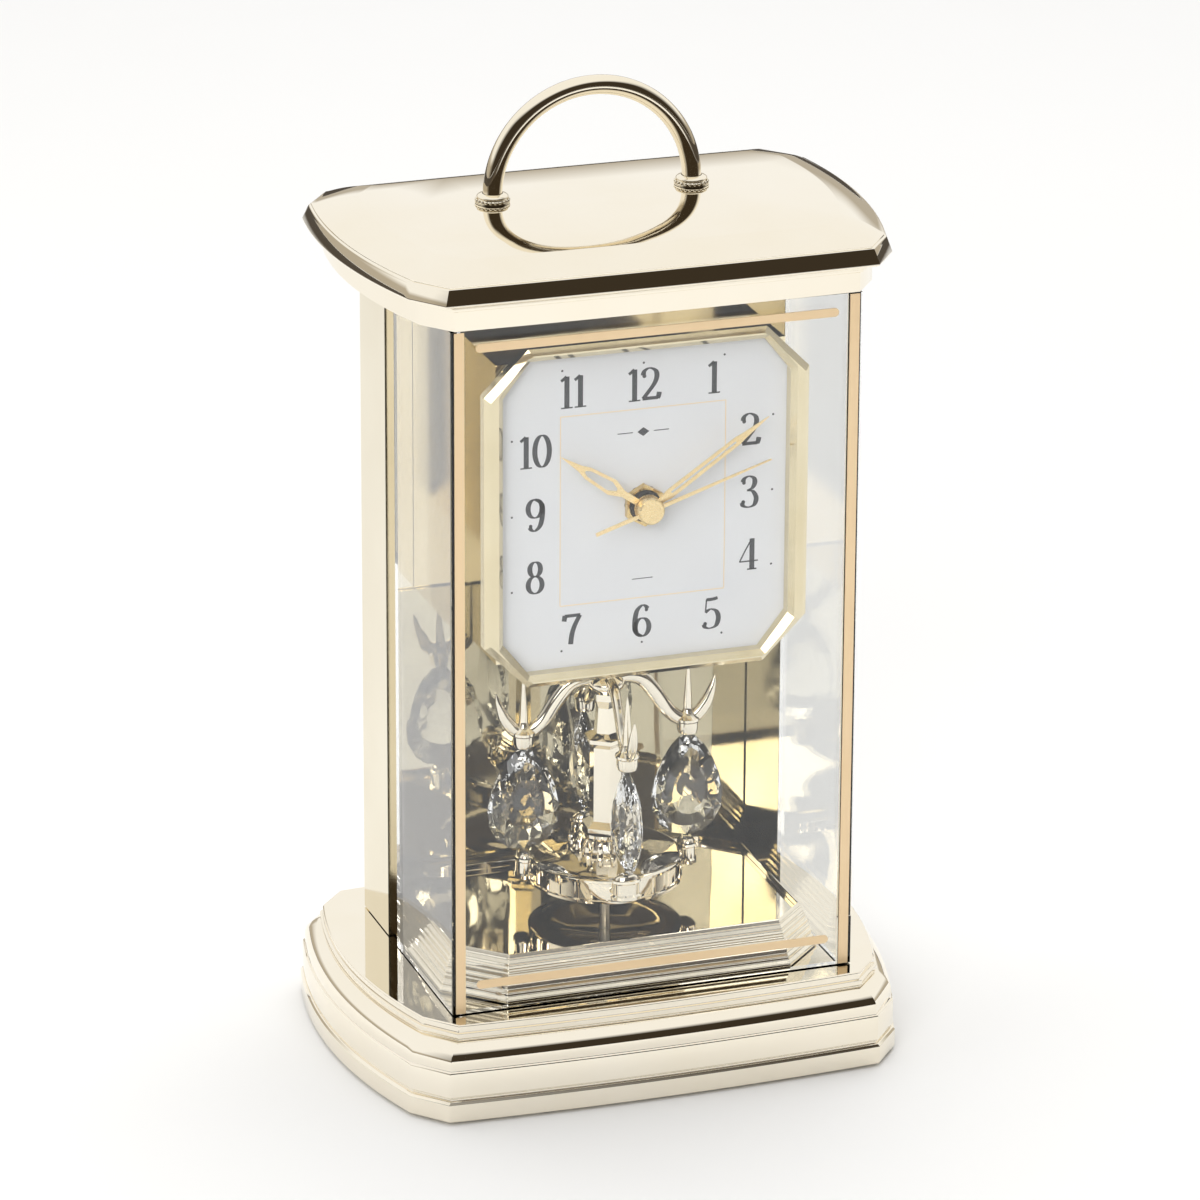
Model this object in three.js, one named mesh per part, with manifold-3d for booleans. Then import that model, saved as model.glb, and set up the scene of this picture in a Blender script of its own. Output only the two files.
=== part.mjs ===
// Quartz mantel clock with a rotating crystal pendulum, a clear case and a ring handle.
// Millimetres. +Z is up, the dial faces -Y, the origin is on the table under the middle of the plinth.

import * as THREE from 'three';
import { mergeVertices } from 'three/addons/utils/BufferGeometryUtils.js';
import Module from 'manifold-3d';

const wasm = await Module();
wasm.setup();

// ---- driving dimensions -------------------------------------------------------------------------

const gap = 0.3; // air left between neighbouring pieces

const footHeight = 0.8;
const plinth = {
  cornerX: 55, depth: 45.9, rearX: 57.8, rear: 53, cutX: 7.2, cutY: 8.4, sideBow: 6, frontBow: 2,
  top: 23.8, deck: 2.6,
};
const cap = {
  cornerX: 53.2, depth: 40.1, rearX: 58, rear: 46.2, cutX: 6.4, cutY: 8.6, sideBow: 4.1, frontBow: 0.5,
  bottom: 195.4, top: 210.5, wall: 3,
};
const glassCase = {
  halfWidth: 50.8, front: -35.6, back: 35.8, wall: 3, joint: 8.6,
  bottom: plinth.top + gap, top: cap.bottom - gap,
};
const stage = {
  halfWidth: 47.2, front: -32.2, back: 33.3, cut: 11, bottom: glassCase.bottom, top: 35, floor: 33.4,
};
const gilt = { width: 2.4, barWidth: 2.1, barHalf: 44.8, thick: 0.35, lowBar: 31.2, highBar: 190.8 };
const dial = {
  centre: 144.7, face: -24.3, thick: 1, halfWidth: 37.6, halfHeight: 40.6, cutX: 8, cutZ: 9.6, hole: 4.6,
};
const bezel = {
  outerX: 40.4, outerZ: 42, outerCut: 10.8, innerX: 35.8, innerZ: 39, innerCutX: 6.7, innerCutZ: 8.5,
  front: -28.6, bevel: 1.3,
};
const compartment = { halfWidth: 36, low: 107.5, high: 182, front: -22.6, back: 33.5, wall: 2 };
const movement = { halfWidth: 30, low: 115.5, high: 173.5, front: -20.3, back: -4.3, pipe: 3.8 };
const cell = { radius: 7.1, length: 49.2, z: 125.2, y: -12 };
const pendulum = { x: 0, y: 1.5, turn: -4.6, radius: 20.6, crystals: 4 };
const handle = { y: 12.1, radius: 25, tube: 2.35, rise: 1.6 };

// time shown at rest, in degrees clockwise from twelve
const handAngle = { hour: 304.7, minute: 56, second: 72 };

const colours = {
  gold: 0xe9dcc0, paleGold: 0xefe4cc, giltFoil: 0xf0cf9c, clear: 0xeef2f2, dial: 0xdcdcdc, steel: 0xb9bcc0,
  brass: 0xcaa45a, white: 0xf2f0ea, black: 0x26262a, green: 0x2f6b3c, copper: 0xb5652f, rubber: 0x2b2b2b,
  crystal: 0xf4f8fa, mirror: 0xd8c492, cellWrap: 0x8f9aa6,
};

// ---- solids -------------------------------------------------------------------------------------

function toSolid(geometry) {
  const bare = geometry.clone();
  bare.deleteAttribute('normal');
  bare.deleteAttribute('uv');
  const welded = mergeVertices(bare, 1e-4);
  const index = [...welded.index.array];
  const position = welded.attributes.position;
  const corners = [0, 1, 2].map(() => new THREE.Vector3());
  const kept = [];
  let volume = 0;
  for (let i = 0; i < index.length; i += 3) {
    const [a, b, c] = index.slice(i, i + 3);
    if (a === b || b === c || c === a) continue;
    kept.push(a, b, c);
    [a, b, c].forEach((corner, k) => corners[k].fromBufferAttribute(position, corner));
    volume += corners[0].dot(corners[1].cross(corners[2]));
  }
  if (volume < 0) kept.reverse();
  return new wasm.Manifold(new wasm.Mesh({
    numProp: 3,
    vertProperties: new Float32Array(position.array),
    triVerts: new Uint32Array(kept),
  }));
}

function fromSolid(solid) {
  const mesh = solid.getMesh();
  const geometry = new THREE.BufferGeometry();
  geometry.setAttribute('position', new THREE.BufferAttribute(new Float32Array(mesh.vertProperties), 3));
  geometry.setIndex(new THREE.BufferAttribute(new Uint32Array(mesh.triVerts), 1));
  geometry.computeVertexNormals();
  return geometry;
}

const join = (...pieces) => fromSolid(pieces.map(toSolid).reduce((sum, piece) => sum.add(piece)));

function cut(body, ...tools) {
  return fromSolid(tools.map(toSolid).reduce((rest, tool) => rest.subtract(tool), toSolid(body)));
}

// ---- shapes -------------------------------------------------------------------------------------

function polygon(points) {
  return new THREE.Shape(points.map(([x, y]) => new THREE.Vector2(x, y)));
}

// A rectangle from (-x, low) to (x, high) with its four corners cut off.
function cutRectangle(x, low, high, cutX, cutY = cutX) {
  return polygon([
    [-x + cutX, low], [x - cutX, low], [x, low + cutY], [x, high - cutY],
    [x - cutX, high], [-x + cutX, high], [-x, high - cutY], [-x, low + cutY],
  ]);
}

// The plan of the plinth and the cap: cut corners, with bowed sides that widen a little to the rear.
function bowedPlan({ cornerX, depth, rearX, rear, cutX, cutY, sideBow, frontBow }) {
  const sideX = cornerX + cutX;
  const sideY = depth - cutY;
  const rearSideX = rearX + cutX;
  const rearSideY = rear - cutY;
  const bowX = (sideX + rearSideX) / 2 + 2 * sideBow;
  const bowY = (rearSideY - sideY) / 2;
  const shape = new THREE.Shape();
  shape.moveTo(-cornerX, -depth);
  shape.quadraticCurveTo(0, -depth - 2 * frontBow, cornerX, -depth);
  shape.lineTo(sideX, -sideY);
  shape.quadraticCurveTo(bowX, bowY, rearSideX, rearSideY);
  shape.lineTo(rearX, rear);
  shape.quadraticCurveTo(0, rear + 2 * frontBow, -rearX, rear);
  shape.lineTo(-rearSideX, rearSideY);
  shape.quadraticCurveTo(-bowX, bowY, -sideX, -sideY);
  shape.closePath();
  return shape;
}

function slab(shape, low, high, curveSegments = 6) {
  const settings = { depth: high - low, bevelEnabled: false, curveSegments };
  return new THREE.ExtrudeGeometry(shape, settings).translate(0, 0, low);
}

// A moulding: the plan is carried up through [height, inset] levels, each drawn in by its inset.
function moulding(plan, levels, curveSegments = 6) {
  const size = { x: plan.cornerX + plan.cutX + plan.sideBow, y: plan.depth + plan.frontBow };
  const geometry = new THREE.ExtrudeGeometry(bowedPlan(plan), {
    depth: levels.length - 1, steps: levels.length - 1, bevelEnabled: false, curveSegments,
  });
  const position = geometry.attributes.position;
  for (let i = 0; i < position.count; i += 1) {
    const [height, inset] = levels[Math.round(position.getZ(i))];
    position.setXYZ(
      i,
      position.getX(i) * (1 - inset / size.x),
      position.getY(i) * (1 - inset / size.y),
      height,
    );
  }
  return geometry;
}

// A shape drawn in X and Z, standing upright between two depths.
function upright(shape, front, back, options = {}) {
  const geometry = new THREE.ExtrudeGeometry(shape, {
    depth: back - front, bevelEnabled: false, curveSegments: 6, ...options,
  });
  return geometry.rotateX(Math.PI / 2).translate(0, back, 0);
}

// A profile of [radius, height] points turned about the Z axis.
function turned(profile, segments = 20) {
  const points = profile.map(([radius, height]) => new THREE.Vector2(radius, height));
  return new THREE.LatheGeometry(points, segments).rotateX(Math.PI / 2);
}

// The same profile turned about an axis along Y; heights run towards +Y.
function turnedAlongY(profile, segments = 20) {
  return turned(profile, segments).rotateX(-Math.PI / 2);
}

const disc = (radius, low, high, segments = 20) =>
  turned([[0, low], [radius, low], [radius, high], [0, high]], segments);

const rod = (radius, front, back, segments = 16) =>
  turnedAlongY([[0, front], [radius, front], [radius, back], [0, back]], segments);

const box = (x0, x1, y0, y1, z0, z1) =>
  new THREE.BoxGeometry(x1 - x0, y1 - y0, z1 - z0).translate((x0 + x1) / 2, (y0 + y1) / 2, (z0 + z1) / 2);

function alongCurve(points, radius, steps, sides) {
  const path = new THREE.CatmullRomCurve3(points.map(([x, y, z]) => new THREE.Vector3(x, y, z)));
  const section = new THREE.Shape();
  section.absarc(0, 0, radius, 0, 2 * Math.PI);
  return new THREE.ExtrudeGeometry(section, { extrudePath: path, steps, curveSegments: sides / 2 });
}

// The plinth reaches further behind the case than in front, so the whole is moved forward to centre it.
const clock = new THREE.Group();
clock.position.y = (plinth.depth - plinth.rear) / 2;

function add(name, geometry, colour, roughness = 0.3, metalness = 0.9, parent = clock) {
  const material = new THREE.MeshStandardMaterial({ color: colour, roughness, metalness });
  const mesh = new THREE.Mesh(geometry, material);
  mesh.name = name;
  parent.add(mesh);
  return mesh;
}

// ---- plinth -------------------------------------------------------------------------------------

const drive = { radius: 21, low: 5, high: 20.4 };

function plinthShell() {
  const outside = moulding(plinth, [
    [footHeight, 0.3], [footHeight + 0.5, 0], [5.4, 0], [6, 0.9], [6.6, 0.9], [6.9, 0.5], [13.4, 0.5],
    [13.9, 0.9], [15, 2], [16.6, 3], [18.4, 3.6], [19.8, 3.9], [20.1, 4.6], [20.6, 4.2], [21.9, 4.2],
    [22.1, 4.8], [plinth.top - 0.3, 4.8], [plinth.top, 5.1],
  ]);
  const inside = moulding(plinth, [[0, 3], [13.5, 3], [18.5, 7], [plinth.top - plinth.deck, 7]], 4);
  const spindleHole = disc(5, 15, 30, 16).translate(pendulum.x, pendulum.y, 0);
  return cut(outside, inside, spindleHole);
}

// The cover's screws stand in counterbores, so that nothing but the feet touches the table.
function bottomCover() {
  const [low, high] = [footHeight + 0.9, footHeight + 3.3];
  const plate = moulding(plinth, [[low, 3.4], [high, 3.4]], 4);
  const drillings = screwPlaces.flatMap(([x, y]) => [
    disc(1.9, 0, 10, 10).translate(x, y, 0),
    disc(3.5, 0, high - 1, 12).translate(x, y, 0),
  ]);
  return cut(plate, join(...drillings));
}

const screwPlaces = [[-52, -30], [52, -30], [-52, 37], [52, 37]];
const footPlaces = [[-44, -36], [44, -36], [-44, 43], [44, 43]];
const placeNames = ['front_left', 'front_right', 'rear_left', 'rear_right'];

function foot() {
  return turned([[0, 0], [5, 0], [5.5, 0.5], [5.5, footHeight + 0.6], [0, footHeight + 0.6]], 16);
}

// A pan-head screw standing on its head, with a cross recess.
function screw(length) {
  const blank = turned([[0, 0], [2.6, 0], [3, 0.5], [3, 1.6], [1.4, 1.6], [1.4, length], [0, length]], 10);
  return cut(blank, box(-1.7, 1.7, -0.35, 0.35, -1, 0.7), box(-0.35, 0.35, -1.7, 1.7, -1, 0.7));
}

add('plinth', plinthShell(), colours.gold, 0.12);
add('bottom_cover', bottomCover(), colours.black, 0.6, 0);
placeNames.forEach((place, i) => {
  add(`${place}_foot`, foot(), colours.rubber, 0.85, 0).position.set(...footPlaces[i], 0);
});
screwPlaces.forEach(([x, y], i) => {
  add(`${placeNames[i]}_bottom_screw`, screw(9), colours.steel, 0.35).position.set(x, y, footHeight + 0.3);
});

// ---- pendulum drive, under the deck ---------------------------------------------------------------

function driveCase() {
  const outside = disc(drive.radius, drive.low, drive.high, 28);
  const inside = disc(drive.radius - 1.6, 0, drive.high - 1.8, 28);
  return cut(outside, inside, disc(2, 0, 30, 14)).translate(pendulum.x, pendulum.y, 0);
}

function driveCoil() {
  const ring = turned([[2.5, 0], [6, 0], [6, 5], [2.5, 5], [2.5, 0]], 20);
  return ring.translate(pendulum.x + 9, pendulum.y, drive.low + 0.6);
}

add('pendulum_drive_case', driveCase(), colours.black, 0.55, 0);
add('pendulum_drive_coil', driveCoil(), colours.copper, 0.4, 0.8);

// ---- stage inside the case ------------------------------------------------------------------------

function stageBlock() {
  const middle = (stage.front + stage.back) / 2;
  const half = (stage.back - stage.front) / 2;
  const outline = (inset, inner = 0) =>
    cutRectangle(stage.halfWidth - inset, -half + inset, half - inset, stage.cut + inner);
  const steps = [[0, stage.bottom, 28], [0.9, 28, 31.4], [1.8, 31.4, stage.top]];
  const block = join(...steps.map(([inset, low, high]) => slab(outline(inset), low, high)));
  const well = slab(outline(4.6, -1.6), stage.floor, stage.top + 5);
  const underside = slab(outline(2.4, 0), 0, stage.floor - 4.4);
  const hole = disc(4, 0, 60, 16).translate(0, pendulum.y - middle, 0);
  return cut(block, well, underside, hole).translate(0, middle, 0);
}

add('stage', stageBlock(), colours.gold, 0.1);

// ---- rotating pendulum ----------------------------------------------------------------------------

const rotor = new THREE.Group();
rotor.position.set(pendulum.x, pendulum.y, 0);
rotor.rotation.z = THREE.MathUtils.degToRad(pendulum.turn);
clock.add(rotor);

const cupLow = { bottom: 41.6, top: 48.2 };
const cupHigh = { bottom: 75.2, top: 80.6 };
const crystalTurn = (2 * Math.PI) / pendulum.crystals;
const quarterTurns = Array.from({ length: pendulum.crystals }, (_, i) => i * crystalTurn);

function aroundPendulum(makePiece) {
  return quarterTurns.map((angle) => makePiece().translate(pendulum.radius, 0, 0).rotateZ(angle));
}

function pendulumRing() {
  const ring = turned([
    [1.5, 41], [9, 41], [13, 39.4], [18.2, 39.4], [18.9, 40.2], [18.9, 45.4], [17.8, 46.4],
    [12, 47.2], [8.6, 48.8], [6.4, 51], [6.2, 52], [1.5, 52], [1.5, 41],
  ], 24);
  const cup = () => turned([
    [0, cupLow.bottom], [1.6, cupLow.bottom + 0.3], [2.8, 43.4], [2.8, 45.6], [1.9, 46.4],
    [2.4, cupLow.top], [0, cupLow.top],
  ], 10);
  return join(ring, ...aroundPendulum(cup));
}

function pendulumColumn() {
  return turned([
    [1.5, 52.3], [5.9, 52.3], [5.9, 53.4], [4, 54.8], [4, 74], [5.4, 75.4], [5.4, 76.4], [3, 77.6],
    [2.5, 84], [3.2, 86], [3.2, 87.7], [1.5, 87.7], [1.5, 52.3],
  ], 6);
}

function pendulumArms() {
  const hub = turned([[0, 88], [3.6, 88], [4.2, 89], [4.2, 91], [2.4, 92.6], [1.4, 95], [0, 96.4]], 12);
  const arm = () => alongCurve(
    [[2, 0, 90], [8, 0, 90.4], [13.6, 0, 84.6], [20.6, 0, 80], [25.2, 0, 82.6], [27.4, 0, 89.4]], 1.1, 11, 6,
  );
  const cup = () => turned([
    [0, cupHigh.bottom], [2.1, cupHigh.bottom], [2.6, 76.6], [2.6, 78.4],
    [1.5, cupHigh.top], [1, 84], [0, 94],
  ], 10);
  return join(hub, ...quarterTurns.map((angle) => arm().rotateZ(angle)), ...aroundPendulum(cup));
}

// A flat pear-cut crystal, standing in the plane that holds the pendulum's axis.
function crystal() {
  const [low, high] = [cupLow.top + gap, cupHigh.bottom - gap];
  const girdle = 2.6;
  const outline = polygon([
    [-1.6, low + girdle], [1.6, low + girdle], [4.6, 53.4], [5.9, 58], [5.4, 63], [3.6, 68],
    [1.4, high - girdle], [-1.4, high - girdle], [-3.6, 68], [-5.4, 63], [-5.9, 58], [-4.6, 53.4],
  ]);
  const geometry = new THREE.ExtrudeGeometry(outline, {
    depth: 1, bevelEnabled: true, bevelThickness: 3, bevelSize: girdle, bevelSegments: 1,
  });
  return geometry.rotateX(Math.PI / 2).translate(0, 0.5, 0);
}

const spindle = turned([[0, 8], [1.2, 8], [1.2, 51.6], [0, 51.6]], 16);
const magnet = turned([[1.5, 13], [11, 13], [11, 16], [1.5, 16], [1.5, 13]], 24);
add('pendulum_spindle', spindle, colours.steel, 0.2, 1, rotor);
add('pendulum_magnet', magnet, colours.black, 0.5, 0.4, rotor);
add('pendulum_ring', pendulumRing(), colours.gold, 0.12, 0.95, rotor);
add('pendulum_column', pendulumColumn(), colours.gold, 0.12, 0.95, rotor);
add('pendulum_arms', pendulumArms(), colours.gold, 0.12, 0.95, rotor);
['right', 'rear', 'left', 'front'].forEach((side, i) => {
  const geometry = crystal().translate(pendulum.radius, 0, 0).rotateZ(quarterTurns[i]);
  add(`${side}_crystal`, geometry, colours.crystal, 0.02, 0, rotor);
});

// ---- clear case and its gilt lines ----------------------------------------------------------------

function clearCover() {
  const { halfWidth: x, front, wall, joint, bottom, top } = glassCase;
  const plan = polygon([
    [-x, front], [x, front], [x, joint], [x - wall, joint], [x - wall, front + wall],
    [-x + wall, front + wall], [-x + wall, joint], [-x, joint],
  ]);
  return slab(plan, bottom, top);
}

function giltBar() {
  const radius = gilt.barWidth / 2;
  const shape = new THREE.Shape();
  shape.moveTo(-gilt.barHalf + radius, -radius);
  shape.lineTo(gilt.barHalf - radius, -radius);
  shape.absarc(gilt.barHalf - radius, 0, radius, -Math.PI / 2, Math.PI / 2);
  shape.absarc(-gilt.barHalf + radius, 0, radius, Math.PI / 2, Math.PI * 1.5);
  return upright(shape, glassCase.front - gilt.thick, glassCase.front - 0.05);
}

function giltUpright(side) {
  const outer = side * (glassCase.halfWidth - 0.8);
  const inner = outer - side * gilt.width;
  const [x0, x1] = [Math.min(outer, inner), Math.max(outer, inner)];
  const [front, back] = [glassCase.front - gilt.thick, glassCase.front - 0.05];
  return box(x0, x1, front, back, glassCase.bottom + 0.2, glassCase.top - 0.2);
}

add('clear_cover', clearCover(), colours.clear, 0.05, 0);
add('left_gilt_line', giltUpright(-1), colours.giltFoil, 0.3);
add('right_gilt_line', giltUpright(1), colours.giltFoil, 0.3);
add('upper_gilt_line', giltBar(), colours.giltFoil, 0.3).position.z = gilt.highBar;
add('lower_gilt_line', giltBar(), colours.giltFoil, 0.3).position.z = gilt.lowBar;

// ---- rear housing, mirror and door ------------------------------------------------------------------

const door = { halfWidth: 33, low: 110.4, high: 179.2, thick: 2, clearance: 0.4 };
const groove = { depth: 1.4, back: 15.9 };

function rearHousing() {
  const { halfWidth: x, wall, joint, back, bottom, top } = glassCase;
  const inner = x - wall;
  const plan = polygon([
    [-x, back], [-x, groove.back], [-x + groove.depth, groove.back], [-x + groove.depth, joint + gap],
    [-inner, joint + gap], [-inner, back - door.thick], [inner, back - door.thick], [inner, joint + gap],
    [x - groove.depth, joint + gap], [x - groove.depth, groove.back], [x, groove.back], [x, back],
  ]);
  const doorway = box(
    -door.halfWidth - door.clearance, door.halfWidth + door.clearance, 0, back + 5,
    door.low - door.clearance, door.high + door.clearance,
  );
  return cut(slab(plan, bottom, top), doorway);
}

function backMirror() {
  const halfWidth = glassCase.halfWidth - glassCase.wall - gap;
  return box(-halfWidth, halfWidth, 32.6, 33.5, stage.top + gap, compartment.low - gap);
}

function rearDoor() {
  const inner = glassCase.back - door.thick;
  const panel = box(-door.halfWidth, door.halfWidth, inner, glassCase.back, door.low, door.high);
  const fingerNotch = rod(7, glassCase.back - 1, glassCase.back + 5).translate(0, 0, door.high);
  return cut(panel, fingerNotch);
}

add('rear_housing', rearHousing(), colours.gold, 0.15);
add('back_mirror', backMirror(), colours.mirror, 0.04, 1);
add('rear_door', rearDoor(), colours.paleGold, 0.25);

// ---- movement compartment, dial and bezel -------------------------------------------------------------

const shaft = { x: 0, z: dial.centre };

function movementCompartment() {
  const { halfWidth: x, low, high, front, back, wall } = compartment;
  const outside = box(-x, x, front, back, low, high);
  const inside = box(-x + wall, x - wall, front + wall, back + 5, low + wall, high - wall);
  return cut(outside, inside, rod(4.4, front - 5, front + 5).translate(shaft.x, 0, shaft.z));
}

function octagon(halfX, halfZ, cutX, cutZ) {
  return cutRectangle(halfX, -halfZ, halfZ, cutX, cutZ);
}

function dialPlate() {
  const outline = octagon(dial.halfWidth, dial.halfHeight, dial.cutX, dial.cutZ);
  outline.holes.push(new THREE.Path().absarc(0, 0, dial.hole, 0, 2 * Math.PI, true));
  return upright(outline, dial.face, dial.face + dial.thick).translate(0, 0, dial.centre);
}

// An octagon block whose front face is wider or narrower than its back by twice the slope.
function slopedOctagon(halfX, halfZ, cutX, cutZ, front, back, slope) {
  const geometry = upright(octagon(halfX, halfZ, cutX, cutZ), front, back);
  const position = geometry.attributes.position;
  for (let i = 0; i < position.count; i += 1) {
    if (position.getY(i) > (front + back) / 2) continue;
    position.setX(i, position.getX(i) * (1 + slope / halfX));
    position.setZ(i, position.getZ(i) * (1 + slope / halfZ));
  }
  return geometry;
}

function dialBezel() {
  const { outerX, outerZ, outerCut, innerX, innerZ, innerCutX, innerCutZ, front, bevel } = bezel;
  const back = dial.face - gap;
  const shoulder = front + bevel;
  const rim = slopedOctagon(outerX, outerZ, outerCut, outerCut, shoulder, back, 0);
  const face = slopedOctagon(outerX, outerZ, outerCut, outerCut, front, shoulder, -bevel);
  const opening = slopedOctagon(innerX, innerZ, innerCutX, innerCutZ, shoulder, back + 1, 0);
  const flare = slopedOctagon(innerX, innerZ, innerCutX, innerCutZ, front - 0.01, shoulder, bevel);
  return cut(join(rim, face), join(opening, flare)).translate(0, 0, dial.centre);
}

add('movement_compartment', movementCompartment(), colours.gold, 0.2);
add('dial_plate', dialPlate(), colours.dial, 0.55, 0.1);
add('dial_bezel', dialBezel(), colours.gold, 0.12);

// ---- hands ------------------------------------------------------------------------------------------

// A pierced hand that points up, drawn about its own pivot: [distance, half width] points out to the tip.
function handOutline(hubRadius, edge, slot) {
  const side = (sign, points) => points.map(([distance, half]) => [sign * half, distance]);
  const rim = [];
  const [, stemHalf] = edge[0];
  const start = Math.asin(stemHalf / hubRadius);
  for (let i = 0; i <= 16; i += 1) {
    const angle = start + (i / 16) * (2 * Math.PI - 2 * start);
    rim.push([-Math.sin(angle) * hubRadius, Math.cos(angle) * hubRadius]);
  }
  const outline = polygon([...rim, ...side(1, edge), ...side(-1, edge).reverse().slice(1)]);
  outline.holes.push(new THREE.Path(
    [...side(1, slot), ...side(-1, slot).reverse()].map(([x, y]) => new THREE.Vector2(x, y)),
  ));
  return outline;
}

function hand(outline, bore, front, thick, angle) {
  const blade = upright(outline, front, front + thick);
  const hole = rod(bore, front - 1, front + thick + 1, 16);
  return cut(blade, hole).rotateY(THREE.MathUtils.degToRad(angle)).translate(shaft.x, 0, shaft.z);
}

const hourOutline = handOutline(
  3.4,
  [[4.4, 0.8], [7.6, 0.8], [11, 2], [18.4, 1.5], [20.6, 0.8], [26.7, 0]],
  [[9.4, 0.25], [11.6, 1.2], [18, 0.8], [19.2, 0.2]],
);
const minuteOutline = handOutline(
  3.2,
  [[4.2, 0.7], [6, 1.15], [26.6, 1], [28.4, 0.7], [35.9, 0]],
  [[6.6, 0.4], [26, 0.35]],
);

function secondHand() {
  const boss = turnedAlongY([[0, -31.2], [2.9, -31.2], [3.2, -30.9], [3.2, -29.6], [0, -29.6]], 24);
  const outline = polygon([[-0.4, -14.4], [0.4, -14.4], [0.5, 0], [0.15, 31.6], [-0.15, 31.6], [-0.5, 0]]);
  const blade = upright(outline, -30.5, -30.1);
  const angle = THREE.MathUtils.degToRad(handAngle.second);
  return join(boss, blade).rotateY(angle).translate(shaft.x, 0, shaft.z);
}

add('hour_hand', hand(hourOutline, 2.45, -28.4, 0.5, handAngle.hour), colours.giltFoil, 0.25);
add('minute_hand', hand(minuteOutline, 1.65, -29.3, 0.5, handAngle.minute), colours.giltFoil, 0.25);
add('second_hand', secondHand(), colours.giltFoil, 0.25);

// ---- quartz movement -----------------------------------------------------------------------------------

const gearBay = { halfWidth: 27, low: 135, high: 171.4, front: -18.5 };
const offset = (from, distance, degrees) => ({
  x: from.x + distance * Math.cos(THREE.MathUtils.degToRad(degrees)),
  z: from.z + distance * Math.sin(THREE.MathUtils.degToRad(degrees)),
});
const motionAxis = offset(shaft, 11.9, 40);
const knobAxis = offset(motionAxis, 11.9, 100);
const stepAxis = offset(shaft, 9.05, 160);
const rotorAxis = offset(stepAxis, 6.3, 200);

function movementCase() {
  const { halfWidth: x, low, high, front, back, pipe } = movement;
  const body = box(-x, x, front, back, low, high);
  const neck = rod(pipe, -26.9, front + 0.5).translate(shaft.x, 0, shaft.z);
  const bay = box(-gearBay.halfWidth, gearBay.halfWidth, gearBay.front, 5, gearBay.low, gearBay.high);
  const cellRoom = cell.radius + 0.6;
  const cellBay = box(-27, 27, cell.y - cell.radius - gap, 5, cell.z - cellRoom, cell.z + cellRoom);
  const bore = rod(2.45, -30, front + 3, 20).translate(shaft.x, 0, shaft.z);
  return cut(join(body, neck), bay, cellBay, bore);
}

function movementCover() {
  const x = gearBay.halfWidth - gap;
  const plate = box(-x, x, -6.3, -4.5, gearBay.low + gap, gearBay.high - gap);
  return cut(plate, rod(2, -10, 0, 16).translate(knobAxis.x, 0, knobAxis.z));
}

// Points round a rim that go out and in once for each tooth or rib.
function notchedRim(teeth, outer, inner) {
  return Array.from({ length: teeth * 2 }, (_, i) => {
    const angle = (i / teeth) * Math.PI;
    const reach = i % 2 ? inner : outer;
    return [reach * Math.cos(angle), reach * Math.sin(angle)];
  });
}

// A toothed disc between two depths.
function gear(teeth, radius, front, back) {
  return upright(polygon(notchedRim(teeth, radius, radius * (1 - 2.4 / teeth))), front, back);
}

function onAxis(axis, geometry) {
  return geometry.translate(axis.x, 0, axis.z);
}

function hourWheel() {
  const wheel = join(gear(32, 9.28, -17.9, -16.9), rod(2.3, -28.2, -16.9));
  return onAxis(shaft, cut(wheel, rod(1.65, -30, 0)));
}

function minuteWheel() {
  const pinion = gear(10, 2.9, -14.4, -12.8);
  const wheel = gear(30, 8, -12.8, -11.8);
  const arbor = rod(1.5, -29.2, -12.6);
  return onAxis(shaft, cut(join(pinion, wheel, arbor), rod(0.8, -30, 0, 14)));
}

function motionWheel() {
  const pinion = gear(8, 2.32, -18.2, -14.5);
  return onAxis(motionAxis, join(pinion, gear(30, 8.7, -14.5, -13.5), rod(0.6, -14, -7, 10)));
}

function secondWheel() {
  return onAxis(shaft, join(gear(48, 7.5, -10.4, -9.6), rod(0.65, -29.4, -7.2, 12)));
}

function stepWheel() {
  return onAxis(stepAxis, join(gear(8, 1.25, -10.5, -8.6), gear(40, 5, -8.6, -7.8), rod(0.5, -16, -7, 10)));
}

function stepRotor() {
  return onAxis(rotorAxis, join(gear(8, 1, -8.9, -7.6), rod(3, -12.4, -9.4, 16), rod(0.5, -16, -7, 10)));
}

function settingKnob() {
  const dished = rod(4.6, -0.6, 5, 16);
  const head = cut(upright(polygon(notchedRim(20, 6.6, 6.2)), -4.1, 0.6), dished);
  return onAxis(knobAxis, join(head, rod(1.6, -12.8, -3.9, 14), gear(10, 2.9, -14.4, -12.8)));
}

function coil() {
  const profile = [[1, 0], [3.4, 0], [3.4, 1], [2.9, 1], [2.9, 17], [3.4, 17], [3.4, 18], [1, 18], [1, 0]];
  return turned(profile, 16).translate(-22.4, -12, 138.4);
}

function cellBody() {
  const profile = [
    [0, 0], [5, 0], [5.4, 0.4], [cell.radius - 0.3, 0.4], [cell.radius, 0.8],
    [cell.radius, cell.length - 1.8], [cell.radius - 0.4, cell.length - 1.4],
    [2.7, cell.length - 1.2], [2.7, cell.length], [0, cell.length],
  ];
  return turned(profile, 24).rotateY(Math.PI / 2).translate(-24, cell.y, cell.z);
}

function cellSpring() {
  return box(-26.7, -24.3, cell.y - 4, cell.y + 4, cell.z - 4, cell.z + 4);
}

function cellContact() {
  return box(25.6, 26.7, cell.y - 4, cell.y + 4, cell.z - 4, cell.z + 4);
}

function dialNut() {
  const [front, back] = [dial.face - 1.9, dial.face - 0.2];
  const bore = rod(movement.pipe + 0.2, front - 1, back + 1);
  return onAxis(shaft, cut(rod(5.2, front, back, 6), bore));
}

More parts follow.
